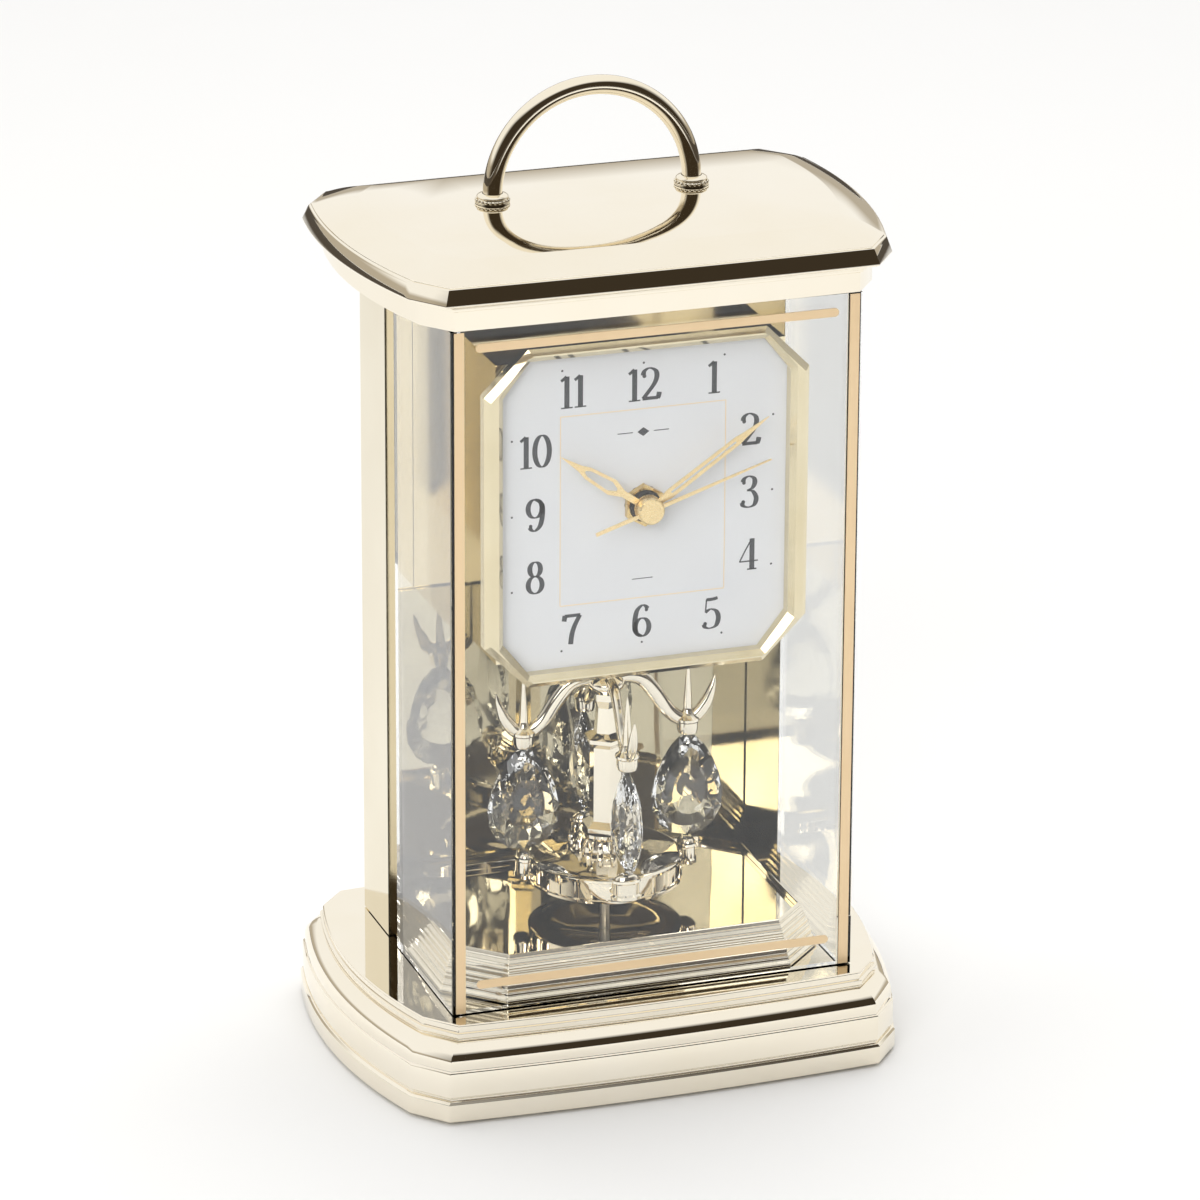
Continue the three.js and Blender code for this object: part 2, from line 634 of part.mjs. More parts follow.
add('dial_nut', dialNut(), colours.brass, 0.3);
add('movement_case', movementCase(), colours.black, 0.5, 0);
add('movement_cover', movementCover(), colours.black, 0.45, 0);
add('hour_wheel', hourWheel(), colours.white, 0.5, 0);
add('minute_wheel', minuteWheel(), colours.brass, 0.3);
add('motion_wheel', motionWheel(), colours.white, 0.5, 0);
add('second_wheel', secondWheel(), colours.white, 0.5, 0);
add('step_wheel', stepWheel(), colours.white, 0.5, 0);
add('step_rotor', stepRotor(), colours.steel, 0.4, 0.7);
add('setting_knob', settingKnob(), colours.white, 0.5, 0);
add('motor_coil', coil(), colours.copper, 0.35, 0.8);
add('circuit_board', box(-26.4, -3, -17.6, -16.6, 160, 170.4), colours.green, 0.5, 0);
add('cell', cellBody(), colours.cellWrap, 0.35, 0.3);
add('cell_spring', cellSpring(), colours.steel, 0.25, 1);
add('cell_contact', cellContact(), colours.steel, 0.25, 1);

// ---- cap, ceiling and handle ---------------------------------------------------------------------------

function topCap() {
  const levels = [
    [cap.bottom, 4], [200.2, 4], [200.4, 3.4], [200.9, 3.4], [201.1, 2.8], [202.2, 1.9], [203, 0.7],
    [203.4, 0], [205.2, 0], [206.5, 1.5], [206.9, 1.7], [208.3, 4.6], [209.8, 8], [cap.top, 10.8],
  ];
  const inside = moulding(cap, [[190, 7], [203, 7], [cap.top - cap.wall - 0.3, 13]], 4);
  const holes = [-1, 1].map((side) => disc(2.7, 200, 220, 20).translate(side * handle.radius, handle.y, 0));
  return cut(moulding(cap, levels), inside, ...holes);
}

// Half a ring on two short legs that run down through the cap.
function handleRing() {
  const [foot, middle] = [cap.top - 7, cap.top + handle.rise];
  const arcs = 24;
  const points = [];
  for (let i = 0; i <= arcs; i += 1) {
    const angle = Math.PI * (1 - i / arcs);
    points.push([handle.radius * Math.cos(angle), handle.y, middle + handle.radius * Math.sin(angle)]);
  }
  const leg = (side) => [side * handle.radius, handle.y, foot];
  const below = (side) => [side * handle.radius, handle.y, (foot + middle) / 2];
  return alongCurve([leg(-1), below(-1), ...points, below(1), leg(1)], handle.tube, 36, 12);
}

function handleFlange() {
  const bore = handle.tube + 0.3;
  const profile = [
    [bore, 0], [4.2, 0], [4.2, 0.5], [3.5, 0.9], [3.3, 1.3], [3.6, 1.7], [3.3, 2.1], [bore, 2.2], [bore, 0],
  ];
  return turned(profile, 16);
}

function handleNut() {
  return cut(disc(4.8, 0, 2.6, 6), disc(handle.tube + 0.3, -1, 4, 20));
}

function ceilingPanel() {
  return moulding(cap, [[cap.bottom + 0.4, 7.6], [cap.bottom + 1.9, 7.6]], 4);
}

add('top_cap', topCap(), colours.gold, 0.12);
add('ceiling_panel', ceilingPanel(), colours.gold, 0.2);
add('handle_ring', handleRing(), colours.gold, 0.08);
[['left', -1], ['right', 1]].forEach(([name, side]) => {
  const x = side * handle.radius;
  add(`${name}_handle_flange`, handleFlange(), colours.gold, 0.1).position.set(x, handle.y, cap.top + 0.1);
  add(`${name}_handle_nut`, handleNut(), colours.steel, 0.35).position.set(x, handle.y, cap.top - 6.3);
});

export default clock;
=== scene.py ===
import bpy
import bmesh
import math
from mathutils import Matrix, Vector


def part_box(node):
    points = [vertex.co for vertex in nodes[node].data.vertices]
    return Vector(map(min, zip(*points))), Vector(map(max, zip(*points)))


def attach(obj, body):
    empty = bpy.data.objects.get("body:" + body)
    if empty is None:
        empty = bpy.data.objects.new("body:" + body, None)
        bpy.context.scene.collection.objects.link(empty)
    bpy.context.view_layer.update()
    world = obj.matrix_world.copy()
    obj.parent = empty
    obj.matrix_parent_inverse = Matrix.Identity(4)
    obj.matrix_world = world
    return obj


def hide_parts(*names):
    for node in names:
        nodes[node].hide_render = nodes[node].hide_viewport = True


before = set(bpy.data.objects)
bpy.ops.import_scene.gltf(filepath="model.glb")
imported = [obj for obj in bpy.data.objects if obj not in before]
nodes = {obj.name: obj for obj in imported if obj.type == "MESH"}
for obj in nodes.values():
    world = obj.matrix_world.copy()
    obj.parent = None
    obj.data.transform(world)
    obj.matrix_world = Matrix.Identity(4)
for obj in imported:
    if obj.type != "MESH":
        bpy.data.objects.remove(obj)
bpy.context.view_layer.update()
mm = 0.001
fullTurn = 2 * math.pi
print("frame loaded:", len(nodes), "nodes")

# camera, floor and light come first, in metres

cameraSet = {
    "target": (-0.0080, -0.02155, 0.1187),
    "distance": 1.566,
    "azimuth": 19.119,  # degrees round to the left of the front
    "elevation": 20.179,
    "roll": 0.29,
    "lens": 197.2,
    "sensor": 36,
    "clip": (0.05, 40),
}


def placeCamera():
    turn = math.radians(cameraSet["azimuth"])
    rise = math.radians(cameraSet["elevation"])
    tip = math.radians(cameraSet["roll"])
    forward = Vector((math.sin(turn) * math.cos(rise), math.cos(turn) * math.cos(rise), -math.sin(rise)))
    level = forward.cross(Vector((0, 0, 1))).normalized()
    upright = level.cross(forward)
    right = level * math.cos(tip) + upright * math.sin(tip)
    up = right.cross(forward)
    data = bpy.data.cameras.new("clockCamera")
    data.lens = cameraSet["lens"]
    data.sensor_width = cameraSet["sensor"]
    data.clip_start, data.clip_end = cameraSet["clip"]
    camera = bpy.data.objects.new("clockCamera", data)
    camera.matrix_world = Matrix((right, up, -forward)).transposed().to_4x4()
    camera.location = Vector(cameraSet["target"]) - forward * cameraSet["distance"]
    bpy.context.scene.collection.objects.link(camera)
    bpy.context.scene.camera = camera


studioSet = {
    "floorSize": 9.0,
    "floorTone": 0.9,
    "floorHeight": -0.00005,
    "aim": (0, 0, 0.1),
    "topLight": {"size": 1.5, "power": 10, "place": (0.15, 0.35, 1.7)},
    "fillLight": {"size": 1.1, "power": 15, "place": (-0.9, -1.5, 1.0)},
    "cardInner": 0.75,  # where the dark card round the floor begins, and where it is full
    "cardFull": 1.3,
    "cardHeight": 0.0004,
    "cardSides": 64,
    "cardTone": (0.050, 0.036, 0.022, 1),
    "backLow": (0.50, 0.45, 0.37, 1),
    "frontLow": (0.045, 0.034, 0.022, 1),
    "white": (1, 0.995, 0.98, 1),
    # heights up the room: the low tone from the first to the second, white from the third
    "backStops": (0.02, 0.09, 0.2),
    "frontStops": (0.02, 0.6, 0.78),
    "frontFrom": 0.1,  # where the back gives way to the front, along Y
    "frontFull": -0.45,
}


def addLight(name):
    lamp = studioSet[name]
    data = bpy.data.lights.new(name, "AREA")
    data.shape = "SQUARE"
    data.size = lamp["size"]
    data.energy = lamp["power"]
    light = bpy.data.objects.new(name, data)
    light.location = lamp["place"]
    aim = Vector(studioSet["aim"]) - light.location
    light.rotation_euler = aim.to_track_quat("-Z", "Y").to_euler()
    light.visible_glossy = False  # or its square would show in the plating
    bpy.context.scene.collection.objects.link(light)


def heightRamp(tree, height, marksAt, low):
    start, end, pale = marksAt
    white = studioSet["white"]
    stops = [(start, low), (end, low), (pale, white), (1, white)]
    ramp = tree.nodes.new("ShaderNodeValToRGB")
    marks = ramp.color_ramp.elements
    marks[0].position, marks[0].color = stops[0]
    marks[1].position, marks[1].color = stops[-1]
    for position, colour in stops[1:-1]:
        marks.new(position).color = colour
    tree.links.new(height, ramp.inputs["Fac"])
    return ramp.outputs["Color"]


# a pale tent above and behind, with the dark of the room behind the camera
def lightRoom():
    world = bpy.data.worlds.new("clockRoom")
    bpy.context.scene.world = world
    world.use_nodes = True
    tree = world.node_tree
    background = next(n for n in tree.nodes if n.type == "BACKGROUND")
    place = tree.nodes.new("ShaderNodeTexCoord")
    parts = tree.nodes.new("ShaderNodeSeparateXYZ")
    tree.links.new(place.outputs["Generated"], parts.inputs["Vector"])
    back = heightRamp(tree, parts.outputs["Z"], studioSet["backStops"], studioSet["backLow"])
    front = heightRamp(tree, parts.outputs["Z"], studioSet["frontStops"], studioSet["frontLow"])
    share = tree.nodes.new("ShaderNodeMapRange")
    share.inputs["From Min"].default_value = studioSet["frontFrom"]
    share.inputs["From Max"].default_value = studioSet["frontFull"]
    tree.links.new(parts.outputs["Y"], share.inputs["Value"])
    room = mixColours(tree, share.outputs["Result"], back, front)
    path = tree.nodes.new("ShaderNodeLightPath")
    shown = mixColours(tree, path.outputs["Is Camera Ray"], room, studioSet["white"])
    tree.links.new(shown, background.inputs["Color"])


def addFloor():
    size = studioSet["floorSize"] / 2
    height = studioSet["floorHeight"]
    bm = bmesh.new()
    corners = ((-size, -size), (size, -size), (size, size), (-size, size))
    bm.faces.new([bm.verts.new((x, y, height)) for x, y in corners])
    floor = linkMesh("paleFloor", bm)
    floor.data.materials.append(floorMaterial())


# seen only in the plating, never by the camera itself
def addDarkCard():
    inner = studioSet["cardInner"]
    outer = studioSet["floorSize"] / 2
    sides = studioSet["cardSides"]
    height = studioSet["cardHeight"]
    angles = [fullTurn * i / sides for i in range(sides)]
    bm = bmesh.new()
    rings = []
    for radius in (inner, outer):
        rings.append([bm.verts.new((radius * math.cos(a), radius * math.sin(a), height)) for a in angles])
    for i in range(sides):
        k = (i + 1) % sides
        bm.faces.new((rings[0][i], rings[1][i], rings[1][k], rings[0][k]))
    card = linkMesh("darkCard", bm)
    card.data.materials.append(cardMaterial())
    card.visible_camera = False
    card.visible_diffuse = False
    card.visible_transmission = False
    card.visible_shadow = False


# small helpers for meshes

def linkMesh(name, bm):
    bmesh.ops.recalc_face_normals(bm, faces=bm.faces[:])
    mesh = bpy.data.meshes.new(name)
    bm.to_mesh(mesh)
    bm.free()
    piece = bpy.data.objects.new(name, mesh)
    bpy.context.scene.collection.objects.link(piece)
    return piece


def shadeSmooth(piece, angle):
    for face in piece.data.polygons:
        face.use_smooth = True
    piece.data.set_sharp_from_angle(angle=math.radians(angle))


def easeEdges(piece, width, segments=2, angle=32):
    bevel = piece.modifiers.new("easedEdges", "BEVEL")
    bevel.width = width
    bevel.segments = segments
    bevel.limit_method = "ANGLE"
    bevel.angle_limit = math.radians(angle)
    bevel.harden_normals = False
    bevel.use_clamp_overlap = True


def dress(piece, body, slot, material, *stoodFor):
    piece.data.materials.clear()
    piece.data.materials.append(material)
    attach(piece, body)
    if stoodFor:
        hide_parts(*stoodFor)
    return piece


# rings of points, joined one to the next into a skin
def skin(bm, loops, closed=False):
    rows = [[bm.verts.new(p) for p in loop] for loop in loops]
    count = len(rows[0])
    pairs = list(zip(rows, rows[1:]))
    if closed:
        pairs.append((rows[-1], rows[0]))
    for low, high in pairs:
        for i in range(count):
            k = (i + 1) % count
            bm.faces.new((low[i], low[k], high[k], high[i]))
    return rows


def turnedRing(radius, height, sides, centre=(0, 0), squeeze=1.0):
    angles = [fullTurn * (i + 0.5) / sides for i in range(sides)]
    return [
        Vector((centre[0] + radius * squeeze * math.cos(a), centre[1] + radius * math.sin(a), height))
        for a in angles
    ]


# a solid turned about an upright line; the profile runs from the bottom to the top
def turned(bm, profile, sides, centre=(0, 0), bored=False, squeeze=1.0):
    loops = [turnedRing(r, z, sides, centre, squeeze) for r, z in profile]
    rows = skin(bm, loops, closed=bored)
    if not bored:
        bm.faces.new(rows[0][::-1])
        bm.faces.new(rows[-1])


# points on a bulging line between two profile points; a negative bulge makes a hollow
def bulged(start, end, bulge, steps=8):
    (r0, z0), (r1, z1) = start, end
    dr, dz = r1 - r0, z1 - z0
    points = []
    for i in range(steps + 1):
        t = i / steps
        lift = bulge * math.sin(math.pi * t)
        points.append((r0 + dr * t + dz * lift, z0 + dz * t - dr * lift))
    return points


def applyModifiers(piece):
    graph = bpy.context.evaluated_depsgraph_get()
    mesh = bpy.data.meshes.new_from_object(piece.evaluated_get(graph))
    piece.modifiers.clear()
    piece.data = mesh


def boreHoles(piece, places, radius, low, high, sides=40):
    bm = bmesh.new()
    for place in places:
        turned(bm, [(radius, low), (radius, high)], sides, place)
    tool = linkMesh("holeTool", bm)
    cutter = piece.modifiers.new("holes", "BOOLEAN")
    cutter.operation = "DIFFERENCE"
    cutter.solver = "EXACT"
    cutter.object = tool
    bpy.context.view_layer.update()
    applyModifiers(piece)
    bpy.data.objects.remove(tool)


# materials: every colour, gloss and grain comes from nodes laid over the object's own coordinates

def mixColours(tree, share, first, second):
    mix = tree.nodes.new("ShaderNodeMix")
    mix.data_type = "RGBA"
    for socket, value in ((mix.inputs[0], share), (mix.inputs[6], first), (mix.inputs[7], second)):
        if isinstance(value, bpy.types.NodeSocket):
            tree.links.new(value, socket)
        else:
            socket.default_value = value
    return mix.outputs[2]


def grainOf(tree, scale, stretch=(1, 1, 1), detail=3):
    place = tree.nodes.new("ShaderNodeTexCoord")
    mapping = tree.nodes.new("ShaderNodeMapping")
    mapping.inputs["Scale"].default_value = stretch
    noise = tree.nodes.new("ShaderNodeTexNoise")
    noise.inputs["Scale"].default_value = scale
    noise.inputs["Detail"].default_value = detail
    tree.links.new(place.outputs["Object"], mapping.inputs["Vector"])
    tree.links.new(mapping.outputs["Vector"], noise.inputs["Vector"])
    return noise.outputs["Fac"]


# noise seldom leaves the middle of its range, so that stretch is spread from low to high
def spread(tree, value, low, high, middle=(0.3, 0.7)):
    change = tree.nodes.new("ShaderNodeMapRange")
    change.inputs["From Min"].default_value = middle[0]
    change.inputs["From Max"].default_value = middle[1]
    change.inputs["To Min"].default_value = low
    change.inputs["To Max"].default_value = high
    tree.links.new(value, change.inputs["Value"])
    return change.outputs["Result"]


def bumpWith(tree, shader, value, depth):
    bump = tree.nodes.new("ShaderNodeBump")
    bump.inputs["Strength"].default_value = 1
    bump.inputs["Distance"].default_value = depth
    tree.links.new(value, bump.inputs["Height"])
    tree.links.new(bump.outputs["Normal"], shader.inputs["Normal"])


def newMaterial(name):
    material = bpy.data.materials.new(name)
    material.use_nodes = True
    tree = material.node_tree
    tree.nodes.clear()
    output = tree.nodes.new("ShaderNodeOutputMaterial")
    shader = tree.nodes.new("ShaderNodeBsdfPrincipled")
    tree.links.new(shader.outputs["BSDF"], output.inputs["Surface"])
    return material, tree, shader


usual = {"stretch": (1, 1, 1), "cloud": 45, "metal": 0, "coat": 0, "coatRough": 0.08, "shine": 0.5}


# one recipe for the opaque finishes; each finish below changes only its own values
def coated(name, changed):
    values = {**usual, **changed}
    material, tree, shader = newMaterial(name)
    cloud = grainOf(tree, values["cloud"])
    grain = grainOf(tree, values["grain"], values["stretch"])
    tone = mixColours(tree, spread(tree, cloud, 0, 1), (*values["colour"], 1), (*values["deep"], 1))
    tree.links.new(tone, shader.inputs["Base Color"])
    tree.links.new(spread(tree, grain, *values["rough"]), shader.inputs["Roughness"])
    shader.inputs["Metallic"].default_value = values["metal"]
    shader.inputs["Coat Weight"].default_value = values["coat"]
    shader.inputs["Coat Roughness"].default_value = values["coatRough"]
    shader.inputs["Specular IOR Level"].default_value = values["shine"]
    bumpWith(tree, shader, grain, values["bump"])
    return material


finishes = {
    "platedGold": {
        "colour": (0.930, 0.868, 0.745), "deep": (0.915, 0.845, 0.705), "metal": 1,
        "rough": (0.025, 0.06), "grain": 70, "bump": 0.0000025,
    },
    # the gold plating again, painted darker as shade on the housing's sides; its rougher, upright-streaked
    # grain is the finish
    "platedSidePaintedShade": {
        "colour": (0.82, 0.755, 0.60), "deep": (0.78, 0.71, 0.55), "metal": 1,
        "rough": (0.06, 0.14), "grain": 60, "bump": 0.000004, "stretch": (1, 1, 0.2),
    },
    # the gold plating again, painted darker as the shade round the sunk dial
    "bezelGoldPaintedShade": {
        "colour": (0.80, 0.71, 0.50), "deep": (0.74, 0.64, 0.42), "metal": 1,
        "rough": (0.05, 0.13), "grain": 110, "bump": 0.000003,
    },
    # the gold plating again, painted darker and yellower as the shade inside the compartment
    "platedInsidePaintedShade": {
        "colour": (0.90, 0.80, 0.58), "deep": (0.86, 0.75, 0.50), "metal": 1,
        "rough": (0.03, 0.08), "grain": 90, "bump": 0.000003,
    },
    "satinGold": {
        "colour": (0.86, 0.80, 0.66), "deep": (0.82, 0.75, 0.60), "metal": 0.9,
        "rough": (0.30, 0.42), "grain": 1500, "bump": 0.000012,
    },
    "tintedMirror": {
        "colour": (0.62, 0.56, 0.40), "deep": (0.36, 0.31, 0.19), "metal": 1, "cloud": 22,
        "rough": (0.01, 0.06), "grain": 45, "bump": 0.00005, "stretch": (3, 1, 0.3),
    },
    "giltFoil": {
        "colour": (0.94, 0.72, 0.45), "deep": (0.91, 0.68, 0.41), "metal": 0.2,
        "rough": (0.28, 0.42), "grain": 900, "bump": 0.000004,
    },
    "dialSilver": {
        "colour": (0.80, 0.81, 0.83), "deep": (0.775, 0.785, 0.81), "metal": 0,
        "rough": (0.38, 0.5), "grain": 2600, "bump": 0.000003, "shine": 0.35,
    },
    "dialInk": {
        "colour": (0.060, 0.064, 0.072), "deep": (0.045, 0.048, 0.055), "metal": 0,
        "rough": (0.45, 0.6), "grain": 3000, "bump": 0.000002,
    },
    "giltInk": {
        "colour": (0.93, 0.77, 0.52), "deep": (0.90, 0.72, 0.46), "metal": 0.35,
        "rough": (0.35, 0.5), "grain": 3000, "bump": 0.000002,
    },
    "handGilt": {
        "colour": (0.95, 0.76, 0.43), "deep": (0.91, 0.70, 0.37), "metal": 0.85,
        "rough": (0.22, 0.34), "grain": 1800, "bump": 0.000003, "stretch": (1, 1, 6),
    },
    "handlePlate": {
        "colour": (0.93, 0.86, 0.72), "deep": (0.91, 0.83, 0.67), "metal": 1,
        "rough": (0.02, 0.05), "grain": 60, "bump": 0.0000015,
    },
    "zincSteel": {
        "colour": (0.66, 0.67, 0.69), "deep": (0.56, 0.57, 0.60), "metal": 1,
        "rough": (0.26, 0.42), "grain": 1400, "bump": 0.000006, "stretch": (1, 1, 5),
    },
    "blackPlastic": {
        "colour": (0.030, 0.030, 0.033), "deep": (0.022, 0.022, 0.025), "metal": 0,
        "rough": (0.42, 0.58), "grain": 2200, "bump": 0.000018,
    },
    "footRubber": {
        "colour": (0.035, 0.034, 0.034), "deep": (0.026, 0.026, 0.026), "metal": 0,
        "rough": (0.72, 0.88), "grain": 1700, "bump": 0.00003, "shine": 0.3,
    },
    "turnedBrass": {
        "colour": (0.78, 0.58, 0.27), "deep": (0.72, 0.52, 0.23), "metal": 1,
        "rough": (0.18, 0.32), "grain": 1600, "bump": 0.000005, "stretch": (1, 5, 1),
    },
    "whiteNylon": {
        "colour": (0.82, 0.81, 0.77), "deep": (0.78, 0.77, 0.72), "metal": 0,
        "rough": (0.38, 0.5), "grain": 1300, "bump": 0.00001,
    },
    "boardGreen": {
        "colour": (0.030, 0.16, 0.055), "deep": (0.02, 0.11, 0.04), "metal": 0,
        "rough": (0.25, 0.4), "grain": 900, "bump": 0.00002, "coat": 0.5,
    },
}


# the darker tone between the wires is painted shade in the grooves between the windings
windingSet = {
    "wires": 1600, "waver": 0.6, "between": (0.33, 0.09, 0.03, 1), "copper": (0.72, 0.30, 0.12, 1),
    "rough": (0.42, 0.24), "metal": 0.85, "bump": 0.00008,
}


def copperWinding():
    material, tree, shader = newMaterial("copperWinding")
    place = tree.nodes.new("ShaderNodeTexCoord")
    wires = tree.nodes.new("ShaderNodeTexWave")
    wires.bands_direction = "Z"
    wires.inputs["Scale"].default_value = windingSet["wires"]
    wires.inputs["Distortion"].default_value = windingSet["waver"]
    tree.links.new(place.outputs["Object"], wires.inputs["Vector"])
    # copper on the wires, painted shade between them
    tone = mixColours(tree, wires.outputs["Fac"], windingSet["between"], windingSet["copper"])
    tree.links.new(tone, shader.inputs["Base Color"])
    tree.links.new(spread(tree, wires.outputs["Fac"], *windingSet["rough"]), shader.inputs["Roughness"])
    shader.inputs["Metallic"].default_value = windingSet["metal"]
    bumpWith(tree, shader, wires.outputs["Fac"], windingSet["bump"])
    return material


sleeveSet = {
    "band": 0.3,  # the band's share of the cell's length
    "dark": (0.035, 0.045, 0.06, 1), "gilt": (0.70, 0.48, 0.20, 1),
    "grain": 800, "rough": (0.2, 0.32), "metal": 0.4, "bump": 0.000004,
}


# a plain printed sleeve, with a gilt band at its positive end
def cellSleeve():
    material, tree, shader = newMaterial("cellSleeve")
    low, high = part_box("cell")
    place = tree.nodes.new("ShaderNodeTexCoord")
    parts = tree.nodes.new("ShaderNodeSeparateXYZ")
    tree.links.new(place.outputs["Object"], parts.inputs["Vector"])
    band = tree.nodes.new("ShaderNodeMath")
    band.operation = "GREATER_THAN"
    band.inputs[1].default_value = high.x - sleeveSet["band"] * (high.x - low.x)
    tree.links.new(parts.outputs["X"], band.inputs[0])
    tone = mixColours(tree, band.outputs["Value"], sleeveSet["dark"], sleeveSet["gilt"])
    tree.links.new(tone, shader.inputs["Base Color"])
    grain = grainOf(tree, sleeveSet["grain"])
    tree.links.new(spread(tree, grain, *sleeveSet["rough"]), shader.inputs["Roughness"])
    shader.inputs["Metallic"].default_value = sleeveSet["metal"]
    bumpWith(tree, shader, grain, sleeveSet["bump"])
    return material


clearSet = {
    "paler": 0.985,
    "bump": 0.000001,
    "acrylic": {
        "tint": (0.99, 0.995, 0.99, 1), "ior": 1.49, "rough": (0.0, 0.012), "grain": 35, "shadow": 0.95,
    },
    "crystal": {
        "tint": (0.985, 0.99, 1.0, 1), "ior": 1.62, "rough": (0.0, 0.006), "grain": 150, "shadow": 0.8,
    },
}


# lamps shine through it, so that what stands behind is lit
def clearMaterial(name, values):
    material, tree, shader = newMaterial(name)
    output = shader.outputs["BSDF"].links[0].to_node
    grain = grainOf(tree, values["grain"], detail=1)
    pale = tuple(c * clearSet["paler"] for c in values["tint"][:3]) + (1,)
    tone = mixColours(tree, spread(tree, grain, 0, 1), values["tint"], pale)
    tree.links.new(tone, shader.inputs["Base Color"])
    tree.links.new(spread(tree, grain, *values["rough"]), shader.inputs["Roughness"])
    shader.inputs["Transmission Weight"].default_value = 1
    shader.inputs["IOR"].default_value = values["ior"]
    bumpWith(tree, shader, grain, clearSet["bump"])
    lamp = tree.nodes.new("ShaderNodeBsdfTransparent")
    lamp.inputs["Color"].default_value = (values["shadow"],) * 3 + (1,)
    path = tree.nodes.new("ShaderNodeLightPath")
    mix = tree.nodes.new("ShaderNodeMixShader")
    tree.links.new(path.outputs["Is Shadow Ray"], mix.inputs["Fac"])
    tree.links.new(shader.outputs["BSDF"], mix.inputs[1])
    tree.links.new(lamp.outputs["BSDF"], mix.inputs[2])
    tree.links.new(mix.outputs["Shader"], output.inputs["Surface"])
    return material


def floorMaterial():
    tone = studioSet["floorTone"]
    return coated("paleFloor", {
        "colour": (tone, tone, tone), "deep": (tone * 0.99, tone * 0.99, tone * 0.985),
        "rough": (0.7, 0.85), "grain": 40, "bump": 0.00001, "shine": 0.1, "cloud": 2,
    })


def cardMaterial():
    material, tree, shader = newMaterial("darkCard")
    place = tree.nodes.new("ShaderNodeNewGeometry")
    reach = tree.nodes.new("ShaderNodeVectorMath")
    reach.operation = "LENGTH"
    tree.links.new(place.outputs["Position"], reach.inputs[0])
    share = tree.nodes.new("ShaderNodeMapRange")
    share.inputs["From Min"].default_value = studioSet["cardInner"]
    share.inputs["From Max"].default_value = studioSet["cardFull"]
    tree.links.new(reach.outputs["Value"], share.inputs["Value"])
    shader.inputs["Base Color"].default_value = studioSet["cardTone"]
    shader.inputs["Roughness"].default_value = 1
    tree.links.new(share.outputs["Result"], shader.inputs["Alpha"])
    return material


placeCamera()
lightRoom()
addFloor()
addDarkCard()
addLight("topLight")
addLight("fillLight")
bpy.context.scene.view_settings.view_transform = "Standard"
print("camera, floor and light are up")

look = {name: coated(name, values) for name, values in finishes.items()}
look["clearAcrylic"] = clearMaterial("clearAcrylic", clearSet["acrylic"])
look["cutCrystal"] = clearMaterial("cutCrystal", clearSet["crystal"])
look["copperWinding"] = copperWinding()
look["cellSleeve"] = cellSleeve()
print("finishes mixed:", len(look))


# plinth and cap: mouldings with cut corners and bowed sides

mouldingSet = {
    "bowSteps": 36,
    "easedEdge": 0.16 * mm,
    "spindleHole": {"radius": 5 * mm, "low": 15 * mm, "high": 30 * mm},
    "legHoles": {"room": 0.35 * mm, "low": 200 * mm, "high": 220 * mm},
    # each plan in millimetres: front and rear corners, how much they are cut, and how far the sides bow
    "plinth": {
        "cornerX": 55, "depth": 45.9, "rearX": 57.8, "rear": 53, "cutX": 7.2, "cutY": 8.4,
        "sideBow": 6, "frontBow": 2,
    },
    "top_cap": {
        "cornerX": 53.2, "depth": 40.1, "rearX": 58, "rear": 46.2, "cutX": 6.4, "cutY": 8.6,
        "sideBow": 4.1, "frontBow": 0.5,
    },
}


# a shallow bow from one corner to the next, with its middle pulled out
def bowBetween(start, middle, end):
    steps = mouldingSet["bowSteps"]
    points = []
    for i in range(steps + 1):
        t = i / steps
        near, pull, far = (1 - t) ** 2, 2 * t * (1 - t), t * t
        points.append(tuple(near * a + pull * b + far * c for a, b, c in zip(start, middle, end)))
    return points


# once round from the front left corner: front, right, back and left
def bowedPoints(plan):
    corner, rearCorner = plan["cornerX"], plan["rearX"]
    side, rearSide = corner + plan["cutX"], rearCorner + plan["cutX"]
    near, far = -(plan["depth"] - plan["cutY"]), plan["rear"] - plan["cutY"]
    pull = ((side + rearSide) / 2 + 2 * plan["sideBow"], (near + far) / 2)
    front, rear = plan["depth"], plan["rear"]
    lift = 2 * plan["frontBow"]
    points = bowBetween((-corner, -front), (0, -front - lift), (corner, -front))
    points += bowBetween((side, near), pull, (rearSide, far))
    points += bowBetween((rearCorner, rear), (0, rear + lift), (-rearCorner, rear))
    points += bowBetween((-rearSide, far), (-pull[0], pull[1]), (-side, near))
    return points


def planLoop(node, inset, height):
    plan = mouldingSet[node]
    reachX = plan["cornerX"] + plan["cutX"] + plan["sideBow"]
    reachY = plan["depth"] + plan["frontBow"]
    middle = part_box(node)[0].y / mm + reachY
    return [
        Vector((x * (1 - inset / reachX), middle + y * (1 - inset / reachY), height)) * mm
        for x, y in bowedPoints(plan)
    ]


def mouldedShell(name, node, outside, inside):
    bm = bmesh.new()
    outer = [planLoop(node, inset, height) for inset, height in outside]
    inner = [planLoop(node, inset, height) for inset, height in inside]
    rows = skin(bm, inner[::-1] + outer)
    bm.faces.new(rows[0])
    bm.faces.new(rows[-1])
    return linkMesh(name, bm)


